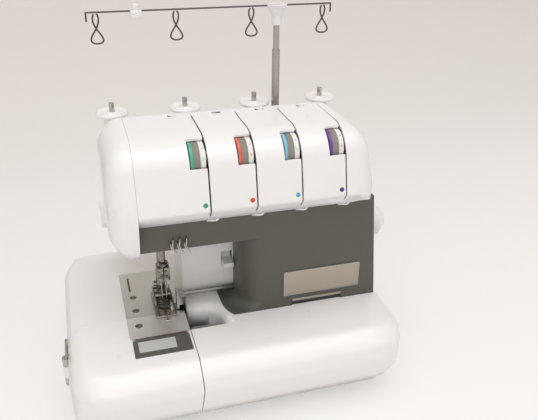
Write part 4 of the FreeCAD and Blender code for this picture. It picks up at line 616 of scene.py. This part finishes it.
# %% Bent wires and rounded blocks
def bent_wire(name, paths, radius):
    """One mesh of round wires that follow smooth curves through the given points."""
    curve = bpy.data.curves.new(name, "CURVE")
    curve.dimensions = "3D"
    curve.bevel_depth = radius * MM
    curve.bevel_resolution = 4
    curve.use_fill_caps = True
    for path in paths:
        line = curve.splines.new("NURBS")
        line.points.add(len(path) - 1)
        for point, place in zip(line.points, path):
            point.co = (*spot(*place), 1.0)
        line.order_u = 3
        line.use_endpoint_u = True
        line.resolution_u = 8
    carrier = bpy.data.objects.new(name, curve)
    mesh = bpy.data.meshes.new_from_object(carrier)
    mesh.name = name
    bpy.data.objects.remove(carrier)
    return mesh


def shifted(path, x):
    """A path moved to the right."""
    return [(x + step, y, z) for step, y, z in path]


def rounded_blocks(name, blocks, edge):
    """One mesh of named blocks, each from (low corner, high corner), with rounded edges."""
    shape = bmesh.new()
    for low, high in blocks.values():
        made = bmesh.ops.create_cube(shape, size=1.0)["verts"]
        middle = (spot(*low) + spot(*high)) / 2
        reach = spot(*high) - spot(*low)
        for vert in made:
            vert.co = middle + Vector(c * r for c, r in zip(vert.co, reach))
    bmesh.ops.bevel(shape, geom=shape.edges[:], offset=edge * MM, segments=2, profile=0.5, affect="EDGES")
    return closed(name, shape)


# %% [markdown]
# Ribs round a dial and spool holders in a row are repeats, which is a job for Geometry Nodes. A node group
# gets named inputs for its sizes. It sets copies on points, makes them real and gives them their finish,
# because copies that only point at one shape would be lost when the model is saved.

# %% Start and end of a node group
def new_group(name, **inputs):
    """A node group that hands out a geometry, and the node that holds its inputs."""
    group = bpy.data.node_groups.new(name, "GeometryNodeTree")
    group.interface.new_socket("Geometry", in_out="OUTPUT", socket_type="NodeSocketGeometry")
    for label, kind in inputs.items():
        socket_type = f"NodeSocket{kind}"
        group.interface.new_socket(label.replace("_", " "), in_out="INPUT", socket_type=socket_type)
    return group, group.nodes.new("NodeGroupInput")


def end_group(group, given, copies):
    """Makes the copies real, gives them their finish and hands them out."""
    real = group.nodes.new("GeometryNodeRealizeInstances")
    coat = group.nodes.new("GeometryNodeSetMaterial")
    result = group.nodes.new("NodeGroupOutput")
    group.links.new(copies, real.inputs["Geometry"])
    group.links.new(real.outputs["Geometry"], coat.inputs["Geometry"])
    group.links.new(given.outputs["Finish"], coat.inputs["Material"])
    group.links.new(coat.outputs["Geometry"], result.inputs["Geometry"])
    print(group.name, len(group.nodes), "nodes")
    return group


def grown(name, group, values, start=None):
    """The plain mesh that a node group makes, with its inputs set by their sockets' identifiers."""
    carrier = bpy.data.objects.new("carrier", start or bpy.data.meshes.new("start"))
    bpy.context.scene.collection.objects.link(carrier)
    modifier = carrier.modifiers.new("grow", "NODES")
    modifier.node_group = group
    items = group.interface.items_tree
    sockets = {item.name: item.identifier for item in items if item.in_out == "INPUT"}
    for key, value in values.items():
        modifier[sockets[key]] = value
    bpy.context.view_layer.update()
    evaluated = carrier.evaluated_get(bpy.context.evaluated_depsgraph_get())
    mesh = bpy.data.meshes.new_from_object(evaluated)
    bpy.data.objects.remove(carrier)
    mesh.name = name
    return mesh


# %% [markdown]
# The numbered dials are what the eye goes to first. A real one is a moulded drum: a painted rim on the
# left, a grey band with fine ribs for the finger, and a white band printed with numbers. The ribs are a
# ring of points with a small block on each one, turned to face outwards. A bumpy finish would be quicker,
# but it would leave the edge of the band smooth.

# %% A ring of ribs
def rib_group():
    group, given = new_group("ring_of_ribs", Ribs="Int", Ring_radius="Float", Rib_size="Vector",
                             Middle="Vector", Finish="Material")
    make = group.nodes.new
    link = group.links.new
    ring = make("GeometryNodeMeshCircle")
    rib = make("GeometryNodeMeshCube")
    place = make("GeometryNodeInputPosition")
    face_out = make("FunctionNodeAlignRotationToVector")
    spread = make("GeometryNodeInstanceOnPoints")
    lay = make("GeometryNodeTransform")
    face_out.axis = "X"
    lay.inputs["Rotation"].default_value = (0, math.radians(90), 0)
    link(given.outputs["Ribs"], ring.inputs["Vertices"])
    link(given.outputs["Ring radius"], ring.inputs["Radius"])
    link(given.outputs["Rib size"], rib.inputs["Size"])
    link(place.outputs["Position"], face_out.inputs["Vector"])
    link(ring.outputs["Mesh"], spread.inputs["Points"])
    link(rib.outputs["Mesh"], spread.inputs["Instance"])
    link(face_out.outputs["Rotation"], spread.inputs["Rotation"])
    link(spread.outputs["Instances"], lay.inputs["Geometry"])
    link(given.outputs["Middle"], lay.inputs["Translation"])
    return end_group(group, given, lay.outputs["Geometry"])


RIBS = rib_group()


def ring_of_ribs(name, count, radius, size, middle, finish):
    """A mesh of ribs round an axis along X. Sizes in millimetres: size is (outwards, round, along)."""
    values = {"Ribs": count, "Ring radius": radius * MM, "Rib size": [length * MM for length in size],
              "Middle": list(spot(*middle)), "Finish": finish}
    return grown(name, RIBS, values)


# %% Numbers bent round a drum
INK_THICKNESS, DIGIT_HEIGHT = 0.04, 3.6
DIGIT_STEP, MIDDLE_DIGIT, DIGIT_SHIFT = 36, 5, 18


def numbers(name, middle, radius):
    """Digits one to nine printed round an axis along X, read from the front."""
    shape = bmesh.new()
    for digit in range(1, 10):
        letter = bpy.data.curves.new(f"digit_{digit}", "FONT")
        letter.body = str(digit)
        letter.size = DIGIT_HEIGHT * MM
        letter.align_x = "CENTER"
        letter.align_y = "CENTER"
        letter.extrude = INK_THICKNESS * MM
        carrier = bpy.data.objects.new(letter.name, letter)
        flat = bpy.data.meshes.new_from_object(carrier)
        turn = math.radians(DIGIT_STEP * (digit - MIDDLE_DIGIT) + DIGIT_SHIFT)
        for vert in flat.vertices:
            angle = turn + vert.co.y / (radius * MM)
            outward = Vector((0, -math.cos(angle), math.sin(angle)))
            vert.co = spot(*middle) + Vector((vert.co.x, 0, 0)) + outward * (radius * MM + vert.co.z)
        shape.from_mesh(flat)
        bpy.data.objects.remove(carrier)
    return as_mesh(name, shape)


# %% Sizes and paints of the dials
DIAL_Y, DIAL_Z, DIAL_RADIUS, DIAL_WIDTH, DIAL_BORE = -31.9, 239.0, 14.8, 13.0, 2.6
DIAL_FROM_SLOT, DIAL_EDGE, DIAL_STEPS = 1.6, 0.25, 96
STRIPE, RIBBED = 2.6, 8.7
DRUM_RADIUS, SCALE_RADIUS, INK_RADIUS = DIAL_RADIUS - 0.7, DIAL_RADIUS - 0.1, DIAL_RADIUS - 0.06
RIB_COUNT, RIB_RING, RIB_HEIGHT, RIB_WIDTH, RIB_SHORTER = 110, DIAL_RADIUS - 0.6, 0.5, 0.5, 0.5
PAINTS = {
    "green": ((0.02, 0.36, 0.20), (0.10, 0.50, 0.34)),
    "red": ((0.72, 0.06, 0.025), (0.85, 0.16, 0.10)),
    "blue": ((0.10, 0.42, 0.60), (0.26, 0.60, 0.74)),
    "violet": ((0.09, 0.02, 0.20), (0.20, 0.06, 0.36)),
}
dial_grey = moulded("dial_grey", (0.36, 0.325, 0.275), (0.30, 0.27, 0.225), rough=0.45,
                    peel=0.1, coat=0.0, peel_scale=1500)
dial_white = moulded("dial_white", (0.82, 0.80, 0.78), (0.76, 0.74, 0.71), rough=0.35, peel=0.03, coat=0.1)
slot_places = [FIRST_SLOT + SLOT_PITCH * i for i in range(len(PAINTS))]
print("slots at", slot_places)


# %% The four dials
def band(name, foot, left, right, radius):
    """One band of a drum, hollow in the middle."""
    profile = [(DIAL_BORE, left), (radius - DIAL_EDGE, left), (radius, left + DIAL_EDGE),
               (radius, right - DIAL_EDGE), (radius - DIAL_EDGE, right), (DIAL_BORE, right)]
    return turned(name, foot, (1, 0, 0), profile, DIAL_STEPS, hollow=True)


def make_dial(body, slot_x, ink):
    left = slot_x - DIAL_FROM_SLOT - DIAL_WIDTH
    foot = (left, DIAL_Y, DIAL_Z)
    finished(band(f"{body}_rim", foot, 0, STRIPE, DIAL_RADIUS), body, ink)
    finished(band(f"{body}_drum", foot, STRIPE, RIBBED, DRUM_RADIUS), body, dial_grey, f"tension_{body}")
    finished(band(f"{body}_scale", foot, RIBBED, DIAL_WIDTH, SCALE_RADIUS), body, dial_white)
    rib_size = (RIB_HEIGHT, RIB_WIDTH, RIBBED - STRIPE - RIB_SHORTER)
    rib_middle = (left + (STRIPE + RIBBED) / 2, DIAL_Y, DIAL_Z)
    ribs = ring_of_ribs(f"{body}_ribs", RIB_COUNT, RIB_RING, rib_size, rib_middle, dial_grey)
    finished(ribs, body, dial_grey)
    scale_middle = (left + (RIBBED + DIAL_WIDTH) / 2, DIAL_Y, DIAL_Z)
    finished(numbers(f"{body}_numbers", scale_middle, INK_RADIUS), body, ink)


# %% [markdown]
# Each thread path has a printed dot in the colour of its dial. A dot of ink has a little thickness and a
# soft rim, so it is turned as a very low dome that lies on the sloping face of the cover.

# %% Dials and dots, one pair for each paint
DOT_FROM_SLOT, DOT_Z, DOT_STEPS = 5, 205.7, 40
DOT_PROFILE = [(2.1, -0.1), (2.1, 0.05), (1.9, 0.12), (0.3, 0.16)]
DOT_DARKER = 0.8
face_run, face_rise = FACE_TOP_Y - ARM_FRONT, ARM_TOP - FACE_LOW_Z
face_out = Vector((0, -face_rise, face_run)).normalized()
dot_y = ARM_FRONT + face_run * (DOT_Z - FACE_LOW_Z) / face_rise


def painted(name, tone, shade):
    return moulded(name, tone, shade, rough=0.3, peel=0.03, coat=0.2)


for i, (paint, (deep, light)) in enumerate(PAINTS.items()):
    make_dial(f"dial_{i + 1}", slot_places[i], painted(f"paint_{paint}", light, deep))
    dot_foot = (slot_places[i] - DOT_FROM_SLOT, dot_y, DOT_Z)
    dot = turned(f"colour_dot_{i + 1}", dot_foot, face_out, DOT_PROFILE, DOT_STEPS)
    darker = [DOT_DARKER * part for part in deep]
    finished(dot, "machine", painted(f"dot_{paint}", deep, darker))


# %% [markdown]
# A spool holder is a thin hollow cone with a dished disc on top, moulded in one go. The disc has a rolled
# rim and a small collar round the steel pin. Four of them stand at an even step, so one is turned, and a
# second node group sets copies of it on the points of a line.

# %% A row of equal pieces
def row_group():
    group, given = new_group("row_of_pieces", Piece="Geometry", Count="Int", Step="Vector",
                             Finish="Material")
    link = group.links.new
    line = group.nodes.new("GeometryNodeMeshLine")
    spread = group.nodes.new("GeometryNodeInstanceOnPoints")
    link(given.outputs["Count"], line.inputs["Count"])
    link(given.outputs["Step"], line.inputs["Offset"])
    link(line.outputs["Mesh"], spread.inputs["Points"])
    link(given.outputs["Piece"], spread.inputs["Instance"])
    return end_group(group, given, spread.outputs["Instances"])


ROW = row_group()

# %% Spool holders
HOLDER_FOOT, HOLDER_PITCH, HOLDER_COUNT, HOLDER_STEPS = (-90.5, 77, 146), 70, 4, 72
HOLDER_CONE = [(13, 0), (12.6, 2), (10.2, 40), (8.7, 80), (8.1, 97), (8.1, 99)]
HOLDER_DISC = [(10, 99.7), (14.2, 101), (15.1, 102), (15.25, 103), (15.0, 104), (14.3, 104.6),
               (13.6, 104.4), (9, 103.4), (6, 103.2)]
HOLDER_COLLAR = [(5.4, 103.6), (5.0, 104.5), (4.4, 104.7), (2.6, 104.7), (2.6, 98)]
HOLDER_INSIDE = [(11.6, 0)]
holder_profile = HOLDER_CONE + HOLDER_DISC + HOLDER_COLLAR + HOLDER_INSIDE
holder = turned("spool_holder", HOLDER_FOOT, (0, 0, 1), holder_profile, HOLDER_STEPS, hollow=True)
row_values = {"Count": HOLDER_COUNT, "Step": [HOLDER_PITCH * MM, 0, 0], "Finish": white_plastic}
holder_row = grown("spool_holder_row", ROW, row_values, holder)
finished(holder_row, "machine", white_plastic, "spool_holders")


# %% [markdown]
# The needle area is all polished metal, and most of it is chrome made darker as a painted dark reflection.
# The foot is a fork with a gap for the needles, two upright cheeks, a cross pin and a narrow guide tongue
# at its toe. Blocks with rounded edges give the stamped parts, and turned pieces give the pin and the screw.

# %% Presser foot
TOE_Y, HEEL_Y, SOLE_LOW, SOLE_TOP = -25, 17, 78, 80.6
BRIDGE_LEFT, BRIDGE_RIGHT, BRIDGE_LOW, BRIDGE_TOP = -69.5, -57.5, 78.05, 80.5
CHEEK_FRONT, CHEEK_BACK, CHEEK_LOW, CHEEK_TOP = -13, 14, 80, 89.5
fork_blocks = {
    "left prong": ((-74, TOE_Y, SOLE_LOW), (-68.4, HEEL_Y, SOLE_TOP)),
    "right prong": ((-58.6, TOE_Y, SOLE_LOW), (-53.8, HEEL_Y, SOLE_TOP)),
    "rear bridge": ((BRIDGE_LEFT, -5.5, BRIDGE_LOW), (BRIDGE_RIGHT, HEEL_Y, BRIDGE_TOP)),
    "front bridge": ((BRIDGE_LEFT, TOE_Y, BRIDGE_LOW), (BRIDGE_RIGHT, -14, BRIDGE_TOP)),
    "left cheek": ((-72.6, CHEEK_FRONT, CHEEK_LOW), (-71.2, CHEEK_BACK, CHEEK_TOP)),
    "right cheek": ((-56.6, CHEEK_FRONT, CHEEK_LOW), (-55.2, CHEEK_BACK, CHEEK_TOP)),
    "ankle": ((-71.4, 6, 80.3), (-56.4, 13.5, 86)),
    "neck": ((-67.6, 6.2, 85.5), (-58.4, 16.8, 100)),
}
fork = rounded_blocks("presser_foot_fork", fork_blocks, edge=0.45)
finished(fork, "presser_bar", chrome_painted_dark_reflection, "presser_foot")
toe_blocks = {
    "tongue": ((-66, -33, 78.4), (-61, -24, 80.2)),
    "guide post": ((-59.5, -22, 80.5), (-56.8, -15.8, 88)),
}
finished(rounded_blocks("presser_foot_tongue", toe_blocks, edge=0.4), "presser_bar", chrome)

# %% Pin and screw of the presser foot
PIN_FOOT, PIN_STEPS = (-73.9, 1, 86.5), 32
PIN_PROFILE = [(1.1, 0), (1.5, 0.5), (1.5, 19.5), (1.1, 20)]
finished(turned("presser_foot_pin", PIN_FOOT, (1, 0, 0), PIN_PROFILE, PIN_STEPS), "presser_bar", chrome)
SCREW_FOOT, SCREW_STEPS = (-67.4, 11.5, 94), 36
SCREW_PROFILE = [(2.4, 0), (3.2, 0.6), (3.2, 3.2), (2.6, 3.8), (2.0, 4.0)]
foot_screw = turned("presser_foot_screw", SCREW_FOOT, (-1, 0, 0), SCREW_PROFILE, SCREW_STEPS)
finished(foot_screw, "presser_bar", chrome)


# %% [markdown]
# The needle clamp is a block that is split down the middle, so that its screws can pinch both needles. A
# collar sits over it on the round needle bar. A small wire in front leads the threads to the needles.

# %% Needle clamp, rod and thread guide
NEEDLE_X, NEEDLE_Y = -63, -9
CLAMP_HALF, CLAMP_SPLIT, CLAMP_LOW, CLAMP_TOP = 6, 0.25, 112, 126
clamp_front, clamp_back = NEEDLE_Y - CLAMP_HALF, NEEDLE_Y + CLAMP_HALF
clamp_blocks = {
    "left half": ((NEEDLE_X - CLAMP_HALF, clamp_front, CLAMP_LOW),
                  (NEEDLE_X - CLAMP_SPLIT, clamp_back, CLAMP_TOP)),
    "right half": ((NEEDLE_X + CLAMP_SPLIT, clamp_front, CLAMP_LOW),
                   (NEEDLE_X + CLAMP_HALF, clamp_back, CLAMP_TOP)),
}
clamp = rounded_blocks("needle_clamp", clamp_blocks, edge=0.7)
finished(clamp, "needle_bar", chrome_painted_dark_reflection, "needle_bar")
COLLAR_PROFILE = [(4.9, 125.6), (5.3, 126.2), (5.3, 129.2), (4.6, 130)]
ROD_PROFILE = [(3, 130.2), (3, 244.4), (2.4, 245)]
rod = turned("needle_rod", (NEEDLE_X, NEEDLE_Y, 0), (0, 0, 1), COLLAR_PROFILE + ROD_PROFILE, steps=48)
finished(rod, "needle_bar", chrome_painted_dark_reflection)
GUIDE_PATH = [(-67, -14, 127), (-70, -16.5, 127.5), (-72, -18.5, 124), (-69, -19.5, 120.5),
              (-65.5, -18.5, 121)]
finished(bent_wire("clamp_thread_guide", [GUIDE_PATH], radius=0.5), "needle_bar", chrome)


# %% [markdown]
# Three wire hooks stand out under the arm and lead the threads down. Each one is two bent wires, a long
# one with a tail and a short one that closes the eye. The tails end at different heights.

# %% Thread hooks on the arm
HOOK_TAILS = {-56: 157.5, -50: 156.5, -44: 153.8}
LONG_WIRE = [(0, -38.9, 170), (0, -42.5, 170.4), (-0.6, -44.4, 168.5), (-1.2, -44.2, 164), (0.2, -43.2, 160),
             (2.0, -43.9, 158.5)]
SHORT_WIRE = [(-1.6, -38.9, 166), (-2.2, -42.8, 166.6), (-2.4, -44.1, 163.5), (-1.2, -43.4, 160.2),
              (0.4, -42.8, 161)]
hook_paths = []
for hook_x, tail_z in HOOK_TAILS.items():
    hook_paths.append(shifted(LONG_WIRE + [(2.4, -44.2, tail_z)], hook_x))
    hook_paths.append(shifted(SHORT_WIRE, hook_x))
hooks = bent_wire("thread_hook_wires", hook_paths, radius=0.62)
finished(hooks, "machine", chrome, "needle_thread_hooks")


# %% [markdown]
# The window in the front cover is a shallow dark tray with rounded corners. A dark frame lies on the pale
# plate, and a thin white lip closes it towards the front. The frame is a flat ring: two loops of points
# with round corners, joined top, bottom and round both edges.

# %% A flat ring
CORNER_STEPS = 8


def corner_loop(low, high, radius):
    """Points (x, y) round a rectangle with round corners."""
    left, right = low[0] + radius, high[0] - radius
    front, back = low[1] + radius, high[1] - radius
    points = []
    for x, y, start in ((right, back, 0), (left, back, 90), (left, front, 180), (right, front, 270)):
        for step in range(CORNER_STEPS + 1):
            angle = math.radians(start + 90 * step / CORNER_STEPS)
            points.append((x + radius * math.cos(angle), y + radius * math.sin(angle)))
    return points


def flat_ring(name, outer, inner, low, high):
    shape = bmesh.new()
    sides = ((outer, low), (outer, high), (inner, high), (inner, low))
    loops = [[shape.verts.new(spot(x, y, z)) for x, y in loop] for loop, z in sides]
    join_loops(shape, loops + loops[:1])
    return closed(name, shape)


# %% Window tray
TRAY_FLOOR, TRAY_TOP = 76.02, 77.5
tray_outer = corner_loop(low=(-99.3, -78.2), high=(-48.2, -51.2), radius=5)
tray_inner = corner_loop(low=(-94.9, -71), high=(-61.5, -54.6), radius=1.2)
window_frame = flat_ring("window_frame", tray_outer, tray_inner, TRAY_FLOOR, TRAY_TOP)
finished(window_frame, "swing_cover", tray_dark)
lip_block = {"front lip": ((-99.4, -79.9, TRAY_FLOOR), (-48.4, -78.4, 77.8))}
finished(rounded_blocks("window_lip", lip_block, edge=0.3), "swing_cover", white_plastic)
edge_block = {"rear edge": ((-80, -52.2, 77.3), (-50, -51.1, 77.95))}
finished(rounded_blocks("window_rear_edge", edge_block, edge=0.15), "swing_cover", rust_mark)


# %% [markdown]
# The needle plate carries a dark mark that guides the cloth, and the plate on the panel has a bright rim.
# Both are thin, so low blocks that stand a little proud are enough. The rim is four bars round the plate.

# %% Marks on the metal
mark_block = {"mark": ((-93.9, 27.1, 76.9), (-92.1, 52.9, 77.7))}
finished(rounded_blocks("seam_mark", mark_block, edge=0.15), "machine", rust_mark)
LABEL_LEFT, LABEL_RIGHT, LABEL_LOW, LABEL_TOP = 47, 124.5, 91, 117.6
RIM_WIDTH, RIM_FRONT, RIM_BACK = 0.7, -40.2, -39.7
rim_low, rim_high = (LABEL_LEFT, RIM_FRONT, LABEL_LOW), (LABEL_RIGHT, RIM_BACK, LABEL_TOP)
rim_blocks = {
    "lower bar": (rim_low, (LABEL_RIGHT, RIM_BACK, LABEL_LOW + RIM_WIDTH)),
    "upper bar": ((LABEL_LEFT, RIM_FRONT, LABEL_TOP - RIM_WIDTH), rim_high),
    "left bar": (rim_low, (LABEL_LEFT + RIM_WIDTH, RIM_BACK, LABEL_TOP)),
    "right bar": ((LABEL_RIGHT - RIM_WIDTH, RIM_FRONT, LABEL_LOW), rim_high),
}
finished(rounded_blocks("name_plate_rim", rim_blocks, edge=0.15), "machine", chrome)


# %% [markdown]
# Below that plate a light strip hangs over a recess, where a finger takes hold. The strip is a bar with
# round edges, and just behind it a thin black block paints the shade at the back of the recess.

# %% Light strip over the finger recess
strip_block = {"bar": ((56.2, -39.8, 83.2), (106.8, -37.2, 86))}
finished(rounded_blocks("grip_strip_bar", strip_block, edge=0.4), "machine", label_silver, "grip_strip")
# Painted shade: this thin black block stands for the shade at the back of the recess.
recess_block = {"back": ((56.1, -37.7, 78.1), (106.9, -36.95, 83.3))}
finished(rounded_blocks("recess_painted_shade", recess_block, edge=0.1), "machine", black_plastic)


# %% [markdown]
# The clip on the guide wire is a small moulded jaw with a tab to press. Two blocks with well rounded edges
# show both, since it is only a few millimetres long.

# %% Clip on the guide wire
clip_blocks = {
    "jaw": ((-66.9, 67.6, 337.4), (-56.5, 73.4, 344.6)),
    "tab": ((-64.6, 68, 344), (-58.8, 73, 350.1)),
}
finished(rounded_blocks("wire_clip", clip_blocks, edge=1.3), "tower_head", trim_plastic, "guide_clip")


# %% [markdown]
# Under each thread slot a small curled nub keeps the thread from slipping out. It is moulded with the
# cover, in the same white, and a short bent wire has just its shape.

# %% Curled nubs under the thread slots
NUB_WIRE = [(-1, -42, 184.6), (4, -43.2, 184.2), (7.4, -43.8, 184.6), (8.2, -43.8, 186.4)]
nub_paths = [shifted(NUB_WIRE, slot_x) for slot_x in slot_places]
finished(bent_wire("thread_nubs", nub_paths, radius=0.85), "machine", white_plastic)


# %% [markdown]
# Two kinds of spring sit inside the casings. In the solids they are plain tubes, and here they become real
# coils: a wire whose path climbs a little with each step round the axis. The presser spring is pressed
# together when the foot is lifted, but its coil here is made at its rest length.

# %% Path of a coil
COIL_STEPS = 14


def coil(foot, axis, radius, length, turns):
    """Points of a coil from its foot along an axis, x or z."""
    points = []
    for step in range(turns * COIL_STEPS + 1):
        angle = 2 * math.pi * step / COIL_STEPS
        along = length * step / (turns * COIL_STEPS)
        across = (radius * math.cos(angle), radius * math.sin(angle))
        place = (*across, along) if axis == "z" else (along, *across)
        points.append(tuple(f + p for f, p in zip(foot, place)))
    return points


# %% Coil springs
SPRING_X, SPRING_Y, SPRING_LOW, SPRING_HIGH, PRESSER_LIFT = -63, 12, 189.0, 214.0, 5.5
SPRING_RADIUS, SPRING_WIRE, SPRING_TURNS = 4.9, 0.7, 6
spring_foot = (SPRING_X, SPRING_Y, SPRING_LOW + SPRING_WIRE)
spring_path = coil(spring_foot, "z", SPRING_RADIUS, SPRING_HIGH - SPRING_LOW - 2 * SPRING_WIRE, SPRING_TURNS)
presser_wire = bent_wire("presser_coil", [spring_path], SPRING_WIRE)
presser_coil = finished(presser_wire, "machine", dark_wire, "presser_spring")
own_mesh(presser_coil)
TENSION_FROM_SLOT, TENSION_RADIUS, TENSION_LENGTH, TENSION_TURNS, TENSION_WIRE = 1.4, 4.5, 2.2, 3, 0.35
tension_paths = []
for slot_x in slot_places:
    tension_foot = (slot_x + TENSION_FROM_SLOT, DIAL_Y, DIAL_Z)
    tension_paths.append(coil(tension_foot, "x", TENSION_RADIUS, TENSION_LENGTH, TENSION_TURNS))
tension_wires = bent_wire("tension_coils", tension_paths, TENSION_WIRE)
finished(tension_wires, "machine", dark_wire, "tension_springs")


# %% [markdown]
# The camera stands where the photographer stood: in front, to the left and above. Its place and its
# turn were worked out from edges of the machine whose real places are known.

# %% Camera
CAMERA_TURN, CAMERA_PITCH, CAMERA_ROLL = (math.radians(angle) for angle in (-17.02, 26.71, 0.75))
CAMERA_PLACE = spot(-122.82, -543.11, 450.88)
FOCAL_PIXELS, IMAGE_WIDTH, SENSOR_WIDTH = 660.1, 538, 36.0

backwards = Vector((math.sin(CAMERA_TURN) * math.cos(CAMERA_PITCH),
                    -math.cos(CAMERA_TURN) * math.cos(CAMERA_PITCH), math.sin(CAMERA_PITCH)))
level = (-backwards).cross(Vector((0, 0, 1))).normalized()
upright = level.cross(-backwards)
rightwards = math.cos(CAMERA_ROLL) * level + math.sin(CAMERA_ROLL) * upright
upwards = math.cos(CAMERA_ROLL) * upright - math.sin(CAMERA_ROLL) * level
camera_axes = Matrix((rightwards, upwards, backwards)).transposed().to_4x4()
camera = bpy.data.objects.new("photo_camera", bpy.data.cameras.new("photo_camera"))
camera.data.sensor_width = SENSOR_WIDTH
camera.data.lens = FOCAL_PIXELS * SENSOR_WIDTH / IMAGE_WIDTH
camera.matrix_world = Matrix.Translation(CAMERA_PLACE) @ camera_axes
bpy.context.scene.collection.objects.link(camera)
bpy.context.scene.camera = camera
print("lens", round(camera.data.lens, 2))


# %% [markdown]
# The machine stands on a pale sweep: a floor that curves up into a wall, so there is no hard horizon. It is
# partly its own light to the eye and to mirrors, which keeps it pale, and yet it still takes the shadow.

# %% Shape of the sweep, in metres
SWEEP_REACH, FLOOR_END, BEND_RADIUS, BEND_STEPS, WALL_TOP = 25.0, 0.55, 0.9, 12, 4.0


def sweep_profile():
    """Points (y, z) of the floor, the bend and the wall."""
    points = [(-SWEEP_REACH, 0.0), (FLOOR_END, 0.0)]
    for step in range(1, BEND_STEPS + 1):
        angle = math.radians(90 * step / BEND_STEPS)
        ahead, down = BEND_RADIUS * math.sin(angle), BEND_RADIUS * math.cos(angle)
        points.append((FLOOR_END + ahead, BEND_RADIUS - down))
    points.append((FLOOR_END + BEND_RADIUS, WALL_TOP))
    return points


def sweep():
    mesh = bpy.data.meshes.new("pale_sweep")
    verts = []
    for y, z in sweep_profile():
        verts += [(-SWEEP_REACH, y, z), (SWEEP_REACH, y, z)]
    faces = [(i, i + 1, i + 3, i + 2) for i in range(0, len(verts) - 2, 2)]
    mesh.from_pydata(verts, [], faces)
    for face in mesh.polygons:
        face.use_smooth = True
    piece = bpy.data.objects.new("pale_sweep", mesh)
    bpy.context.scene.collection.objects.link(piece)
    print("sweep", len(faces), "faces")
    return piece


# %% Finish of the sweep
OWN_LIGHT = 0.55
RISE_FROM, RISE_TO, FOLD_SHADE_SHARE = -0.35, 1.3, 0.3
NEAR_TONE, FAR_TONE, FOLD_SHADE_TONE = (0.985, 0.975, 0.965), (0.69, 0.635, 0.595), (0.80, 0.755, 0.725)


def sweep_finish():
    """Pale paper that is partly its own light to the eye and to mirrors, but lights nothing itself."""
    finish = Finish("pale_sweep", specular_ior_level=0.05, roughness=0.9)
    depth = finish.add("ShaderNodeSeparateXYZ", {}, {0: finish.place}, output="Y")
    rise = finish.add("ShaderNodeMapRange", {}, {"Value": depth, "From Min": RISE_FROM, "From Max": RISE_TO})
    # Painted shade: this noise paints the soft shade streaks of cloth folds into the sweep's tone.
    fold_shade = finish.noise(1.3, 2, finish.stretched(1, 0.5, 0.5))
    tone = finish.mix(1 - rise, colour(*FAR_TONE), colour(*NEAR_TONE))
    tone = finish.mix(FOLD_SHADE_SHARE * fold_shade, tone, colour(*FOLD_SHADE_TONE))
    eye = finish.add("ShaderNodeLightPath", output="Is Camera Ray")
    mirror = finish.add("ShaderNodeLightPath", output="Is Glossy Ray")
    glass = finish.add("ShaderNodeLightPath", output="Is Transmission Ray")
    share = OWN_LIGHT * eye.higher(mirror).higher(glass)
    glow = finish.add("ShaderNodeEmission", {}, {"Color": tone, "Strength": 1.0})
    paper = Value(finish, finish.skin.outputs[0])
    both = finish.add("ShaderNodeMixShader", {}, {0: share, 1: paper, 2: glow})
    finish.tree.links.new(both.socket, finish.tree.nodes["Material Output"].inputs["Surface"])
    return finish.feed(base_color=tone)


backdrop = sweep()
backdrop.data.materials.append(sweep_finish())


# %% [markdown]
# Two wide soft lamps light the machine from above and from the front left, as windows of a bright room
# would. The world fills in the shadows: it is palest overhead and a little darker at the horizon, so that
# glossy white has something to show its shape by.

# %% Lamps
def soft_lamp(name, place, aim, size, power):
    lamp = bpy.data.lights.new(name, "AREA")
    lamp.shape = "RECTANGLE"
    lamp.size, lamp.size_y = size
    lamp.energy = power
    stand = bpy.data.objects.new(name, lamp)
    stand.location = place
    stand.rotation_euler = (Vector(aim) - Vector(place)).to_track_quat("-Z", "Y").to_euler()
    bpy.context.scene.collection.objects.link(stand)
    print(name, power, "W")


soft_lamp("overhead_softbox", place=(0.0, -0.3, 1.7), aim=(0, 0, 0.1), size=(1.6, 1.4), power=12.5)
soft_lamp("front_softbox", place=(-0.7, -1.5, 1.1), aim=(0, 0, 0.12), size=(1.3, 0.9), power=5)

# %% World
HORIZON_TONE, OVERHEAD_TONE, OVERHEAD_FROM = (0.70, 0.68, 0.66), (1.0, 0.985, 0.97), 0.45
WORLD_STRENGTH = 0.7
world = bpy.data.worlds.new("studio")
bpy.context.scene.world = world
world.use_nodes = True
sky = Shading(world.node_tree)
direction = sky.add("ShaderNodeTexCoord", output="Generated")
upness = sky.add("ShaderNodeSeparateXYZ", {}, {0: direction}, output="Z")
sky_stops = [(0.0, colour(*HORIZON_TONE)), (OVERHEAD_FROM, colour(*OVERHEAD_TONE))]
sky_tone = sky.add("ShaderNodeValToRGB", {"stops": sky_stops}, {"Fac": upness})
background = sky.tree.nodes["Background"]
background.inputs["Strength"].default_value = WORLD_STRENGTH
sky.tree.links.new(sky_tone.socket, background.inputs["Color"])
bpy.context.scene.view_settings.view_transform = "Standard"
print("world strength", WORLD_STRENGTH)
